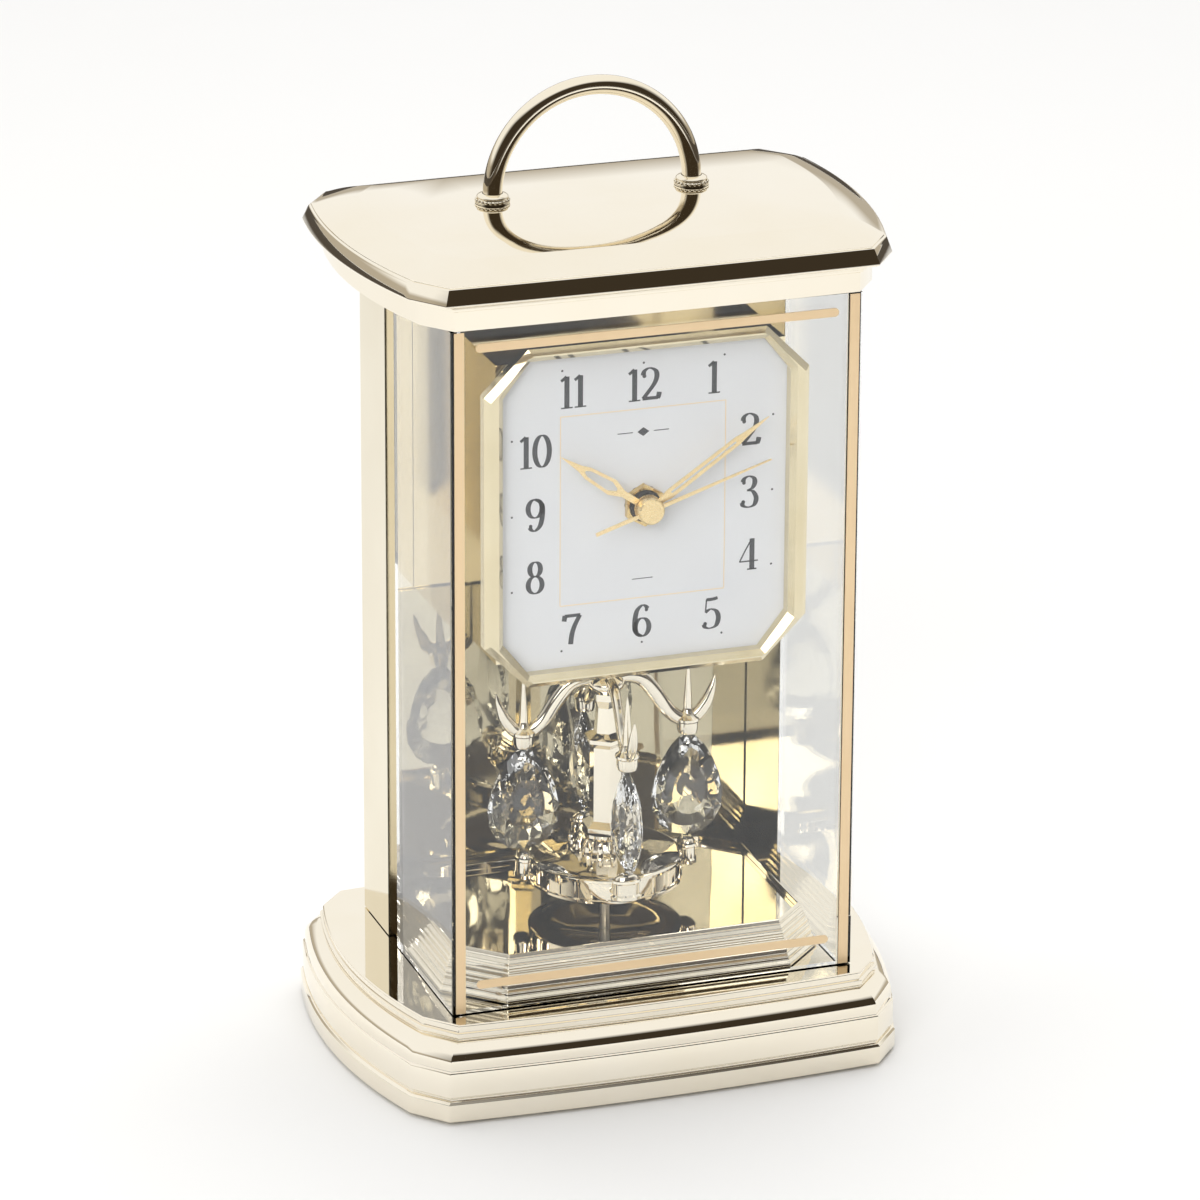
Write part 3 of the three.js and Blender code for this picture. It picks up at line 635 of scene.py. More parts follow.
# a profile point is how far it lies inside the widest line, and its height, both in millimetres
def makePlinth():
    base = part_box("plinth")[0].z / mm
    outside = [(0.5, base), (0.15, base + 0.12), (0, base + 0.5), (0, 5.4)]
    outside += bulged((0.2, 5.7), (0.9, 6.1), -0.2, 3)
    outside += [(0.9, 6.6), *bulged((0.62, 6.75), (0.5, 7.1), 0.3, 3), (0.5, 13.1)]
    outside += [(0.6, 13.4), *bulged((0.95, 13.7), (3.9, 19.8), -0.17, 14), (4.6, 20.0), (4.6, 20.35)]
    outside += [(4.3, 20.5), (4.2, 20.8), (4.2, 21.8), (4.8, 22.0), (4.8, 23.5), (5.1, 23.8)]
    inside = [(3, base), (3, 13.5), (7, 18.5), (7, 21.2)]
    plinth = mouldedShell("plinthMoulding", "plinth", outside, inside)
    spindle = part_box("pendulum_spindle")
    middle = (spindle[0] + spindle[1]) / 2
    hole = mouldingSet["spindleHole"]
    boreHoles(plinth, [(middle.x, middle.y)], hole["radius"], hole["low"], hole["high"])
    shadeSmooth(plinth, angle=24)
    easeEdges(plinth, mouldingSet["easedEdge"])
    dress(plinth, "case", "gold_plated_moulding", look["platedGold"], "plinth")


def makeCap():
    base, top = (corner.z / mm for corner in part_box("top_cap"))
    outside = [(4, base), (4, 200.1), (3.4, 200.4), (3.4, 200.9)]
    outside += bulged((2.9, 201.1), (1.2, 202.2), 0.16, 8)
    outside += [(0.5, 202.3), (0.15, 202.5), (0, 202.8), (0, 203.1), (1.0, 205.9)]
    outside += bulged((1.1, 206.1), (1.6, 206.6), -0.2, 4)
    outside += [(1.7, 206.65), (1.7, 206.95)]
    outside += bulged((2.1, 207.1), (10.8, top), -0.045, 16)
    inside = [(7, base), (7, 203), (13, top - 3.3)]
    cap = mouldedShell("capMoulding", "top_cap", outside, inside)
    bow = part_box("handle_ring")
    tube = (bow[1].y - bow[0].y) / 2
    middle = (bow[0] + bow[1]) / 2
    legs = [(side * (bow[1].x - tube), middle.y) for side in (-1, 1)]
    holes = mouldingSet["legHoles"]
    boreHoles(cap, legs, tube + holes["room"], holes["low"], holes["high"])
    shadeSmooth(cap, angle=24)
    easeEdges(cap, mouldingSet["easedEdge"])
    dress(cap, "case", "gold_plated_moulding", look["platedGold"], "top_cap")


makePlinth()
makeCap()
print("plinth and cap moulded")


stageSet = {
    "cut": 11 * mm,
    "cutLoss": 0.59,  # how much a cut corner shortens for each unit of inset
    "wall": 3 * mm,
    "hollow": 7.2 * mm,
    "easedEdge": 0.12 * mm,
    "hole": {"radius": 4 * mm, "low": 2 * mm, "high": 5 * mm},  # from the underside, and past the top
    # inset and height above the underside, from the bottom rail up and over into the sunk floor
    "rails": (
        (0, 0), (0, 0.7), (0.7, 1.5), (0.7, 2.2), (1.3, 3.0), (1.3, 4.0), (1.7, 4.3), (1.7, 5.0),
        (2.2, 5.6), (2.2, 6.6), (2.6, 7.0), (2.6, 7.7), (3.1, 8.3), (3.1, 8.8), (3.8, 9.7), (3.8, 10.1),
        (4.2, 10.7), (4.5, 10.9), (4.6, 10.6), (4.6, 9.3),
    ),
}


def stageLoop(low, high, inset, height):
    x = (high.x - low.x) / 2 - inset
    front, back = low.y + inset, high.y - inset
    cut = stageSet["cut"] - stageSet["cutLoss"] * inset
    corners = [(cut - x, front), (x - cut, front), (x, front + cut), (x, back - cut)]
    corners += [(x - cut, back), (cut - x, back), (-x, back - cut), (-x, front + cut)]
    return [Vector((cx, cy, height)) for cx, cy in corners]


def makeStage():
    low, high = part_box("stage")
    bm = bmesh.new()
    hollow = [stageLoop(low, high, stageSet["wall"], low.z + rise) for rise in (stageSet["hollow"], 0)]
    rails = [stageLoop(low, high, inset * mm, low.z + rise * mm) for inset, rise in stageSet["rails"]]
    rows = skin(bm, hollow + rails)
    bm.faces.new(rows[0])
    bm.faces.new(rows[-1])
    stage = linkMesh("railedStage", bm)
    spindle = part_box("pendulum_spindle")
    middle = (spindle[0] + spindle[1]) / 2
    hole = stageSet["hole"]
    boreHoles(stage, [(middle.x, middle.y)], hole["radius"], low.z + hole["low"], high.z + hole["high"])
    easeEdges(stage, stageSet["easedEdge"], angle=25)
    dress(stage, "case", "gold_plated_moulding", look["platedGold"], "stage")


makeStage()
print("stage railed")


# handle: half a ring on two legs, each in a beaded ferrule

handleSet = {
    "arcSteps": 120,
    "legSteps": 6,
    "sides": 36,
    "ferruleSides": 64,
    "ferruleRoom": 0.12 * mm,
    "beads": 22,
    "beadSize": 0.42 * mm,
    "beadInset": 0.35 * mm,
    "beadHeight": 0.62 * mm,
}


def makeHandle():
    low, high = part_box("handle_ring")
    tube = (high.y - low.y) / 2
    radius = (high.x - low.x) / 2 - tube
    middle = Vector(((low.x + high.x) / 2, (low.y + high.y) / 2, high.z - tube - radius))
    legs = handleSet["legSteps"]
    path = []
    for i in range(legs):
        drop = (middle.z - low.z) * (1 - i / legs)
        path.append((middle + Vector((-radius, 0, -drop)), Vector((0, 0, 1))))
    for i in range(handleSet["arcSteps"] + 1):
        a = math.pi * (1 - i / handleSet["arcSteps"])
        out = Vector((math.cos(a), 0, math.sin(a)))
        path.append((middle + out * radius, Vector((math.sin(a), 0, -math.cos(a)))))
    for i in range(1, legs + 1):
        drop = (middle.z - low.z) * i / legs
        path.append((middle + Vector((radius, 0, -drop)), Vector((0, 0, -1))))
    side = Vector((0, 1, 0))
    angles = [fullTurn * i / handleSet["sides"] for i in range(handleSet["sides"])]
    loops = []
    for centre, along in path:
        across = side.cross(along)
        loops.append([centre + (side * math.cos(a) + across * math.sin(a)) * tube for a in angles])
    bm = bmesh.new()
    rows = skin(bm, loops)
    bm.faces.new(rows[0])
    bm.faces.new(rows[-1])
    bow = linkMesh("handleBow", bm)
    shadeSmooth(bow, angle=40)
    dress(bow, "case", "handle_gold", look["handlePlate"], "handle_ring")
    return tube


def makeFerrule(side, tube):
    node = side + "_handle_flange"
    low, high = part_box(node)
    centre = ((low.x + high.x) / 2, (low.y + high.y) / 2)
    reach = (high.x - low.x) / 2
    bore = tube + handleSet["ferruleRoom"]
    z = low.z
    profile = [(bore, z), (reach, z), (reach, z + 0.3 * mm)]
    profile += bulged((reach - 0.1 * mm, z + 0.5 * mm), (reach - 0.7 * mm, z + 0.9 * mm), -0.2, 5)
    profile += bulged((reach - 0.8 * mm, z + 1.0 * mm), (reach - 0.8 * mm, z + 1.9 * mm), 0.45, 8)
    profile += [(bore + 0.35 * mm, high.z - 0.1 * mm), (bore, high.z)]
    bm = bmesh.new()
    turned(bm, profile, handleSet["ferruleSides"], centre, bored=True)
    ring = reach - handleSet["beadInset"]
    beadZ = z + handleSet["beadHeight"]
    for i in range(handleSet["beads"]):
        a = fullTurn * i / handleSet["beads"]
        place = Vector((centre[0] + ring * math.cos(a), centre[1] + ring * math.sin(a), beadZ))
        bmesh.ops.create_icosphere(
            bm, subdivisions=2, radius=handleSet["beadSize"], matrix=Matrix.Translation(place))
    ferrule = linkMesh(side + "Ferrule", bm)
    shadeSmooth(ferrule, angle=35)
    dress(ferrule, "case", "handle_gold", look["handlePlate"], node)


tubeRadius = makeHandle()
for side in ("left", "right"):
    makeFerrule(side, tubeRadius)
print("handle and ferrules turned")


# rotating pendulum: ring, arms, cups and crystals, all turned by the same angle at rest

pendulumSet = {
    "turn": -4.6,
    "reach": 20.6 * mm,
    "count": 4,
    "ringSides": 96,
    "panels": 28,
    "postPlace": (18.4 * mm, 0, 42.65 * mm),
    "postSize": (0.5 * mm, 0.5 * mm, 4.4 * mm),
    "flutes": 16,
    "fluteOut": 8.4 * mm,
    "fluteSides": 10,
    "cupSides": 28,
    "cupSqueeze": 0.62,
    "hubSides": 40,
    "armSteps": 44,
    "armSides": 14,
    # profiles from the bottom up: radius and height in millimetres
    "base": (
        (1.5, 41), (9, 41), (13, 39.5), (18.3, 39.4), (18.9, 39.7), (18.9, 40.3), (18.35, 40.6),
        (18.35, 44.7), (18.9, 45), (18.9, 45.6), (18.4, 46), (17.6, 46.3), (12, 46.9),
        *bulged((10.4, 47.3), (6.6, 50.9), -0.2, 8), (6.2, 51.2), (6.2, 52), (1.5, 52),
    ),
    "flute": ((0.75, 47.4), (0.95, 48), (0.62, 50.2), (0.3, 51)),
    "lowerCup": (
        (3.5, 41.6), (3.9, 41.9), (3.9, 42.7), (3.3, 43.1), (3.2, 45.8), (3.6, 46.2), (3.5, 46.8),
        *bulged((3.0, 47.0), (1.9, 48.1), 0.1, 4),
    ),
    "hub": (
        (0.3, 88), (3.4, 88), (3.7, 88.4), *bulged((4.2, 89), (4.2, 91.2), 0.2, 5), (2.6, 92.4),
        *bulged((2.0, 92.8), (1.2, 95), 0.25, 5), (0.1, 96.3),
    ),
    "upperCup": (
        (1.9, 75.2), (2.3, 75.4), (2.6, 76.4), (2.6, 78.2), (2.9, 78.6), (2.9, 79.2), (2.2, 79.8),
        (1.5, 80.6), (1.1, 81.8), (1.05, 84), (0.75, 88), (0.4, 92), (0.05, 94),
    ),
    # one arm, from the hub out to its tip: out, up, half width and half thickness
    "arm": (
        (1.6, 90.6, 1.3, 1.2), (5.2, 91.4, 1.3, 1.7), (8.9, 90.4, 1.3, 1.9), (12.2, 86.6, 1.2, 1.9),
        (15.6, 81.6, 1.2, 1.8), (19.2, 79.0, 1.3, 1.8), (22.6, 79.6, 1.3, 1.7), (25.2, 82.8, 1.3, 1.5),
        (26.7, 86.6, 0.9, 0.9), (27.4, 89.6, 0.15, 0.15),
    ),
}


def pendulumPlace():
    low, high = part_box("pendulum_spindle")
    return Vector(((low.x + high.x) / 2, (low.y + high.y) / 2, 0))


# arm number 0 points to the right, and the next ones follow anticlockwise from above
def armTurn(number):
    angle = math.radians(pendulumSet["turn"]) + fullTurn * number / pendulumSet["count"]
    return Matrix.Translation(pendulumPlace()) @ Matrix.Rotation(angle, 4, "Z")


def moveNew(bm, known, matrix):
    fresh = [v for v in bm.verts if v not in known]
    bmesh.ops.transform(bm, matrix=matrix, verts=fresh)


# the same thing made a number of times, evenly spaced round the upright line
def roundAbout(bm, count, makeOne):
    for i in range(count):
        known = set(bm.verts)
        makeOne(bm)
        moveNew(bm, known, Matrix.Rotation(fullTurn * i / count, 4, "Z"))


def pendulumProfile(name):
    return [(r * mm, z * mm) for r, z in pendulumSet[name]]


def panelPost(bm):
    stretch = Matrix.Diagonal((*pendulumSet["postSize"], 1))
    bmesh.ops.create_cube(bm, size=1, matrix=Matrix.Translation(pendulumSet["postPlace"]) @ stretch)


def ringFlute(bm):
    turned(bm, pendulumProfile("flute"), pendulumSet["fluteSides"], (pendulumSet["fluteOut"], 0))


def lowerCup(bm):
    turned(bm, pendulumProfile("lowerCup"), pendulumSet["cupSides"], (pendulumSet["reach"], 0),
           squeeze=pendulumSet["cupSqueeze"])


def makePendulumRing():
    bm = bmesh.new()
    turned(bm, pendulumProfile("base"), pendulumSet["ringSides"], bored=True)
    roundAbout(bm, pendulumSet["panels"], panelPost)
    roundAbout(bm, pendulumSet["flutes"], ringFlute)
    roundAbout(bm, pendulumSet["count"], lowerCup)
    bmesh.ops.transform(bm, matrix=armTurn(0), verts=bm.verts)
    ring = linkMesh("pendulumCarousel", bm)
    shadeSmooth(ring, angle=30)
    dress(ring, "pendulum", "gold_plated_moulding", look["platedGold"], "pendulum_ring")


# a curve through every point, in so many steps
def smoothPath(points, steps):
    knots = [points[0], *points, points[-1]]
    path = []
    spans = len(points) - 1
    for i in range(steps + 1):
        place = min(i / steps * spans, spans - 1e-6)  # the last step stays in the last span
        k = int(place)
        t = place - k
        a, b, c, d = (Vector(p) for p in knots[k:k + 4])
        path.append(0.5 * (2 * b + (c - a) * t + (2 * a - 5 * b + 4 * c - d) * t * t
                           + (3 * b - a - 3 * c + d) * t ** 3))
    return path


# a scrolled arm with the cup that hangs under it
def scrolledArm(bm):
    path = smoothPath(pendulumSet["arm"], pendulumSet["armSteps"])
    side = Vector((0, 1, 0))
    angles = [fullTurn * k / pendulumSet["armSides"] for k in range(pendulumSet["armSides"])]
    loops = []
    for i, (out, up, width, thick) in enumerate(path):
        before, after = path[max(i - 1, 0)], path[min(i + 1, len(path) - 1)]
        along = Vector((after[0] - before[0], 0, after[1] - before[1])).normalized()
        flat = side.cross(along)
        middle = Vector((out, 0, up))
        ring = [middle + side * width * math.cos(a) + flat * thick * math.sin(a) for a in angles]
        loops.append([p * mm for p in ring])
    rows = skin(bm, loops)
    bm.faces.new(rows[0])
    bm.faces.new(rows[-1])
    turned(bm, pendulumProfile("upperCup"), pendulumSet["cupSides"], (pendulumSet["reach"], 0))


def makePendulumArms():
    bm = bmesh.new()
    turned(bm, pendulumProfile("hub"), pendulumSet["hubSides"])
    roundAbout(bm, pendulumSet["count"], scrolledArm)
    bmesh.ops.transform(bm, matrix=armTurn(0), verts=bm.verts)
    arms = linkMesh("pendulumScrolls", bm)
    shadeSmooth(arms, angle=35)
    dress(arms, "pendulum", "gold_plated_moulding", look["platedGold"], "pendulum_arms")


crystalSet = {
    "girdlePoints": 18,
    "halfWidth": 9.0 * mm,
    "girdleHalf": 0.35 * mm,
    "pear": 0.30,  # how much wider the lower half is
    "pearWidest": 1.045,
    "tableDrop": 0.6 * mm,
    # share of the outline, depth, and shift along the girdle in steps, for each ring of cuts
    "cuts": ((0.78, 1.75 * mm, 0.5), (0.50, 2.9 * mm, 0.0), (0.22, 3.35 * mm, 0.5)),
}


def pearOutline(count, offset, share, half, middle):
    points = []
    for i in range(count):
        a = fullTurn * (i + offset) / count
        swell = 1 + crystalSet["pear"] * math.cos(a)
        width = half[0] * math.sin(a) * swell / crystalSet["pearWidest"]
        points.append((width * share, middle - half[1] * math.cos(a) * share))
    return points


def makeCrystal(side, number):
    node = side + "_crystal"
    low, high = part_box(node)
    girdle = crystalSet["girdlePoints"]
    half = (crystalSet["halfWidth"], (high.z - low.z) / 2)
    middle = (low.z + high.z) / 2
    bm = bmesh.new()
    rims = []
    for sign in (-1, 1):
        rim = pearOutline(girdle, 0, 1, half, middle)
        last = [bm.verts.new((x, sign * crystalSet["girdleHalf"], z)) for x, z in rim]
        rims.append(last)
        shift = 0
        for share, depth, offset in crystalSet["cuts"]:
            centre = middle - crystalSet["tableDrop"] * (1 - share)
            outline = pearOutline(girdle, offset, share, half, centre)
            ring = [bm.verts.new((x, sign * depth, z)) for x, z in outline]
            for i in range(girdle):
                k = (i + 1) % girdle
                if offset > shift:
                    bm.faces.new((last[i], last[k], ring[i]))
                    bm.faces.new((ring[i], last[k], ring[k]))
                else:
                    bm.faces.new((last[i], ring[k], ring[i]))
                    bm.faces.new((last[i], last[k], ring[k]))
            last = ring
            shift = offset
        bm.faces.new(last)
    for i in range(girdle):
        k = (i + 1) % girdle
        bm.faces.new((rims[0][i], rims[0][k], rims[1][k], rims[1][i]))
    place = armTurn(number) @ Matrix.Translation((pendulumSet["reach"], 0, 0))
    bmesh.ops.transform(bm, matrix=place, verts=bm.verts)
    stone = linkMesh(side + "Crystal", bm)
    dress(stone, "pendulum", "crystal_glass", look["cutCrystal"], node)


makePendulumRing()
makePendulumArms()
for number, side in enumerate(("right", "rear", "left", "front")):
    makeCrystal(side, number)
print("pendulum built")


# dial print: numerals drawn as ribbons, thick where they run up and down and thin across

printSet = {
    "height": 8.0 * mm,
    "columnX": (17.5 * mm, 26.8 * mm),
    "rowZ": (29.6 * mm, 15.7 * mm),
    "thick": 0.078,
    "thin": 0.021,
    "swell": 1.6,  # the higher, the later a stroke swells as it turns upright
    "heavy": 2.4,  # a bar's half width, in thin ones
    "light": 1.1,
    "strokeSteps": 8,
    "roundSteps": 48,
    "inkDepth": 0.03 * mm,
    "dotSize": 0.27 * mm,
    "dotX": 32.58 * mm,
    "dotZ": 34.94 * mm,
    "frameHalf": (20.6 * mm, 23.6 * mm),
    "frameLine": 0.22 * mm,
}

# strokes on a body one unit tall; a ball is (x, y, radius)
numerals = {
    "0": {"width": 0.60, "round": [(0.30, 0.5, 0.225, 0.485)]},
    "1": {"width": 0.42,
          "strokes": [[(0.23, 0.0), (0.23, 0.5), (0.23, 0.98)], [(0.05, 0.85), (0.16, 0.93), (0.22, 0.98)],
                      [(0.05, 0.016), (0.23, 0.016), (0.41, 0.016)]]},
    "2": {"width": 0.60, "balls": [(0.11, 0.75, 0.06)],
          "strokes": [[(0.07, 0.77), (0.12, 0.91), (0.28, 0.985), (0.46, 0.89), (0.50, 0.71), (0.42, 0.49),
                       (0.23, 0.24), (0.07, 0.05)],
                      [(0.06, 0.05), (0.30, 0.055), (0.54, 0.05)],
                      [(0.53, 0.03), (0.56, 0.11), (0.58, 0.22)]],
          "heavy": [1]},
    "3": {"width": 0.58, "balls": [(0.12, 0.79, 0.055), (0.10, 0.19, 0.06)],
          "strokes": [[(0.08, 0.81), (0.14, 0.93), (0.28, 0.985), (0.43, 0.91), (0.46, 0.76), (0.38, 0.61),
                       (0.22, 0.54)],
                      [(0.22, 0.54), (0.40, 0.50), (0.51, 0.29), (0.45, 0.08), (0.27, 0.015), (0.11, 0.07),
                       (0.06, 0.18)]]},
    "4": {"width": 0.64,
          "strokes": [[(0.43, 0.0), (0.43, 0.5), (0.43, 0.98)], [(0.42, 0.96), (0.22, 0.62), (0.04, 0.27)],
                      [(0.03, 0.27), (0.33, 0.27), (0.62, 0.27)],
                      [(0.28, 0.016), (0.43, 0.016), (0.58, 0.016)]],
          "light": [1]},
    "5": {"width": 0.58, "balls": [(0.10, 0.17, 0.06)],
          "strokes": [[(0.14, 0.93), (0.32, 0.93), (0.49, 0.96)],
                      [(0.14, 0.95), (0.125, 0.74), (0.11, 0.53)],
                      [(0.11, 0.53), (0.27, 0.62), (0.45, 0.54), (0.52, 0.33), (0.45, 0.09), (0.26, 0.015),
                       (0.11, 0.06), (0.06, 0.16)]],
          "heavy": [0], "light": [1]},
    "6": {"width": 0.60, "balls": [(0.44, 0.84, 0.055)],
          "strokes": [[(0.48, 0.87), (0.40, 0.965), (0.29, 0.985), (0.14, 0.83), (0.075, 0.50), (0.10, 0.18),
                       (0.30, 0.015)]],
          "round": [(0.305, 0.30, 0.215, 0.285)]},
    "7": {"width": 0.60,
          "strokes": [[(0.06, 0.92), (0.30, 0.92), (0.55, 0.92)], [(0.07, 0.94), (0.06, 0.86), (0.04, 0.76)],
                      [(0.54, 0.92), (0.38, 0.61), (0.29, 0.33), (0.25, 0.02)]],
          "heavy": [0]},
    "8": {"width": 0.60, "round": [(0.30, 0.765, 0.165, 0.225), (0.30, 0.275, 0.215, 0.265)]},
    "9": {"turnOf": "6"},
}


def inkStroke(bm, points, closed, weight, scale, place):
    thick, thin = printSet["thick"], printSet["thin"]
    count = len(points)
    left, right = [], []
    for i, point in enumerate(points):
        before = points[(i - 1) % count] if closed else points[max(i - 1, 0)]
        after = points[(i + 1) % count] if closed else points[min(i + 1, count - 1)]
        along = (Vector(after) - Vector(before)).normalized()
        half = thin + (thick - thin) * abs(along.y) ** printSet["swell"]
        if weight != "plain":
            half = thin * printSet[weight]
        across = Vector((-along.y, along.x)) * half
        left.append(Vector(point) + across)
        right.append(Vector(point) - across)
    rows = []
    for side in (left, right):
        rows.append([bm.verts.new((place[0] + p.x * scale, 0, place[1] + p.y * scale)) for p in side])
    last = count if closed else count - 1
    for i in range(last):
        k = (i + 1) % count
        bm.faces.new((rows[0][i], rows[0][k], rows[1][k], rows[1][i]))


def inkDisc(bm, x, z, radius, sides=20):
    angles = [fullTurn * i / sides for i in range(sides)]
    bm.faces.new([bm.verts.new((x + radius * math.cos(a), 0, z + radius * math.sin(a))) for a in angles])


def inkFigure(bm, figure, place, scale):
    shape = numerals[figure]
    if "turnOf" in shape:
        known = set(bm.verts)
        other = numerals[shape["turnOf"]]
        inkFigure(bm, shape["turnOf"], (0, 0), scale)
        turn = Matrix.Translation((place[0] + other["width"] * scale, 0, place[1] + scale))
        moveNew(bm, known, turn @ Matrix.Rotation(math.pi, 4, "Y"))
        return
    for index, stroke in enumerate(shape.get("strokes", [])):
        weight = "heavy" if index in shape.get("heavy", []) else "plain"
        weight = "light" if index in shape.get("light", []) else weight
        path = smoothPath([(x, y, 0) for x, y in stroke], printSet["strokeSteps"] * len(stroke))
        inkStroke(bm, [(p.x, p.y) for p in path], False, weight, scale, place)
    steps = printSet["roundSteps"]
    for x, y, radiusX, radiusY in shape.get("round", []):
        angles = [fullTurn * i / steps for i in range(steps)]
        path = [(x + radiusX * math.cos(a), y + radiusY * math.sin(a)) for a in angles]
        inkStroke(bm, path, True, "plain", scale, place)
    for x, y, radius in shape.get("balls", []):
        inkDisc(bm, place[0] + x * scale, place[1] + y * scale, radius * scale)


def widthOf(figure):
    shape = numerals[figure]
    return numerals[shape.get("turnOf", figure)]["width"]


def hourPlaces():
    nearX, farX = printSet["columnX"]
    highZ, midZ = printSet["rowZ"]
    return {
        "12": (0, highZ), "1": (nearX, highZ), "2": (farX, midZ), "3": (farX, 0), "4": (farX, -midZ),
        "5": (nearX, -highZ), "6": (0, -highZ), "7": (-nearX, -highZ), "8": (-farX, -midZ), "9": (-farX, 0),
        "10": (-farX, midZ), "11": (-nearX, highZ),
    }


# gives the flat print its thickness and stands it on the dial's face
def layPrint(name, bm, material):
    low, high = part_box("dial_plate")
    centre = Vector(((low.x + high.x) / 2, low.y - printSet["inkDepth"], (low.z + high.z) / 2))
    grown = bmesh.ops.extrude_face_region(bm, geom=bm.faces[:])
    backs = [v for v in grown["geom"] if isinstance(v, bmesh.types.BMVert)]
    bmesh.ops.translate(bm, verts=backs, vec=(0, printSet["inkDepth"], 0))
    bmesh.ops.translate(bm, verts=bm.verts, vec=centre)
    piece = linkMesh(name, bm)
    dress(piece, "case", "dial_white", material)


def makeNumerals():
    bm = bmesh.new()
    scale = printSet["height"]
    for text, (x, z) in hourPlaces().items():
        width = sum(widthOf(c) for c in text) * scale
        cursor = x - width / 2
        for figure in text:
            inkFigure(bm, figure, (cursor, z - scale / 2), scale)
            cursor += widthOf(figure) * scale
    hours = len(hourPlaces())
    for hour in range(hours):
        a = fullTurn * hour / hours
        flat = max(abs(math.sin(a)) / printSet["dotX"], abs(math.cos(a)) / printSet["dotZ"])
        inkDisc(bm, math.sin(a) / flat, math.cos(a) / flat, printSet["dotSize"])
    layPrint("dialNumerals", bm, look["dialInk"])


def lineBetween(bm, start, end, width):
    along = Vector(end) - Vector(start)
    across = Vector((-along.y, along.x)).normalized() * width / 2
    corners = [Vector(start) + across, Vector(end) + across, Vector(end) - across, Vector(start) - across]
    bm.faces.new([bm.verts.new((p.x, 0, p.y)) for p in corners])


ornamentSet = {
    "height": 17.9 * mm,
    "lozenge": (1.5 * mm, 1.1 * mm),
    "rule": (2.6 * mm, 6.4 * mm),
    "ruleWidth": 0.22 * mm,
    "lowerHeight": -18.8 * mm,
    "lowerWidth": 0.2 * mm,
}


def makeDialFrame():
    bm = bmesh.new()
    x, z = printSet["frameHalf"]
    line = printSet["frameLine"]
    for sign in (-1, 1):
        lineBetween(bm, (-x, sign * z), (x, sign * z), line)
        lineBetween(bm, (sign * x, -z + line / 2), (sign * x, z - line / 2), line)
    layPrint("dialGiltFrame", bm, look["giltInk"])


# a lozenge between two short rules above the hands, and a plain rule below
def makeDialOrnament():
    bm = bmesh.new()
    top, low = ornamentSet["height"], ornamentSet["lowerHeight"]
    wide, tall = ornamentSet["lozenge"]
    near, far = ornamentSet["rule"]
    lozenge = [(0, top + tall), (wide, top), (0, top - tall), (-wide, top)]
    bm.faces.new([bm.verts.new((x, 0, z)) for x, z in lozenge])
    for sign in (-1, 1):
        lineBetween(bm, (sign * near, top), (sign * far, top), ornamentSet["ruleWidth"])
    lineBetween(bm, (-near, low), (near, low), ornamentSet["lowerWidth"])
    layPrint("dialOrnament", bm, look["dialInk"])


makeNumerals()
makeDialFrame()
makeDialOrnament()
print("dial printed")


# the carried-over nodes

carriedSet = {"smoothAngle": 28, "roundFrom": 0.15}  # edges eased by more than this get a third step


def places(ending):
    return [place + ending for place in ("front_left", "front_right", "rear_left", "rear_right")]


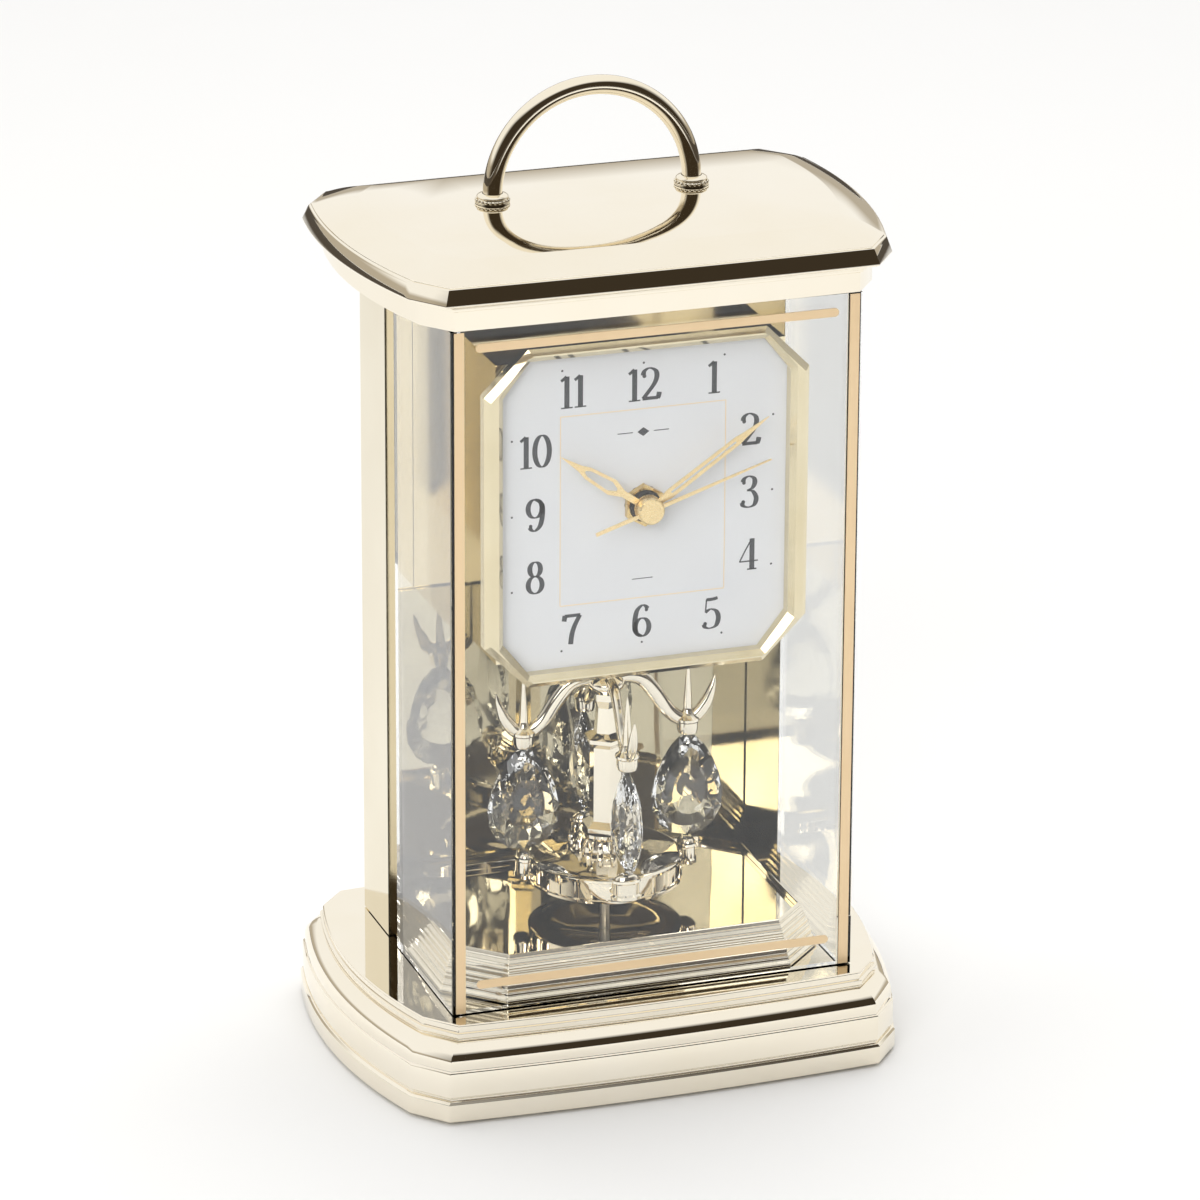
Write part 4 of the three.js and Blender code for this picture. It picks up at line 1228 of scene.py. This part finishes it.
# nodes, record slot, finish, and how far their edges are eased in millimetres
nodeFinish = [
    (["bottom_cover", "pendulum_drive_case", "movement_case", "movement_cover", "pendulum_magnet"],
     "black_plastic", "blackPlastic", 0.25),
    (places("_foot"), "foot_rubber", "footRubber", 0.2),
    (places("_bottom_screw"), "bright_steel", "zincSteel", 0.08),
    (["pendulum_spindle", "step_rotor", "cell_spring", "cell_contact"], "bright_steel", "zincSteel", 0.08),
    (["left_handle_nut", "right_handle_nut"], "bright_steel", "zincSteel", 0.08),
    (["pendulum_drive_coil", "motor_coil"], "copper_wire", "copperWinding", 0.1),
    (["pendulum_column", "ceiling_panel"], "gold_plated_moulding", "platedGold", 0.2),
    # the rear housing takes the plating with painted shade
    (["rear_housing"], "gold_plated_moulding", "platedSidePaintedShade", 0.35),
    # the bezel takes the plating with painted shade
    (["dial_bezel"], "gold_plated_moulding", "bezelGoldPaintedShade", 0.2),
    # the compartment takes the plating with painted shade
    (["movement_compartment"], "gold_plated_moulding", "platedInsidePaintedShade", 0.3),
    (["rear_door"], "door_gold", "satinGold", 0.35),
    (["back_mirror"], "mirror_gold", "tintedMirror", 0.1),
    (["clear_cover"], "clear_acrylic", "clearAcrylic", 0.35),
    (["left_gilt_line", "right_gilt_line", "upper_gilt_line", "lower_gilt_line"],
     "gilt_foil", "giltFoil", 0.06),
    (["dial_plate"], "dial_white", "dialSilver", 0.08),
    (["hour_hand", "minute_hand", "second_hand"], "hand_gilt", "handGilt", 0.07),
    (["dial_nut", "minute_wheel"], "brass", "turnedBrass", 0.06),
    (["hour_wheel", "motion_wheel", "second_wheel", "step_wheel", "setting_knob"],
     "white_nylon", "whiteNylon", 0.06),
    (["circuit_board"], "green_board", "boardGreen", 0.05),
    (["cell"], "cell_jacket", "cellSleeve", 0.15),
]
for names, slotName, finish, edge in nodeFinish:
    for name in names:
        node = nodes[name]
        node.data.materials.clear()
        node.data.materials.append(look[finish])
        shadeSmooth(node, carriedSet["smoothAngle"])
        easeEdges(node, edge * mm, segments=3 if edge > carriedSet["roundFrom"] else 2)
print("carried-over nodes dressed")


# rear door: grip ribs under its finger notch

doorSet = {
    "ribs": 4,
    "ribDrop": 10 * mm,
    "ribGap": 2.2 * mm,
    "ribWidth": 16 * mm,
    "ribHalf": 0.4 * mm,
    "ribRise": 0.35 * mm,
    "ribSunk": 0.05 * mm,
    "crest": (0.985, 0.45),  # the crest's share of the rib's width and height
    "easedEdge": 0.1 * mm,
}


def makeDoorRibs():
    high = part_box("rear_door")[1]
    half, tall = doorSet["ribWidth"] / 2, doorSet["ribHalf"]
    crestWide, crestTall = doorSet["crest"]
    bm = bmesh.new()
    for i in range(doorSet["ribs"]):
        z = high.z - doorSet["ribDrop"] - i * doorSet["ribGap"]
        rib = [(-half, z - tall), (half, z - tall), (half, z + tall), (-half, z + tall)]
        base = [Vector((x, high.y - doorSet["ribSunk"], h)) for x, h in rib]
        crestY = high.y + doorSet["ribRise"]
        crest = [Vector((x * crestWide, crestY, z + (h - z) * crestTall)) for x, h in rib]
        rows = skin(bm, [base, crest])
        bm.faces.new(rows[0])
        bm.faces.new(rows[1])
    ribs = linkMesh("doorGripRibs", bm)
    easeEdges(ribs, doorSet["easedEdge"])
    dress(ribs, "door", "door_gold", look["satinGold"])


makeDoorRibs()
print("rear door finished")
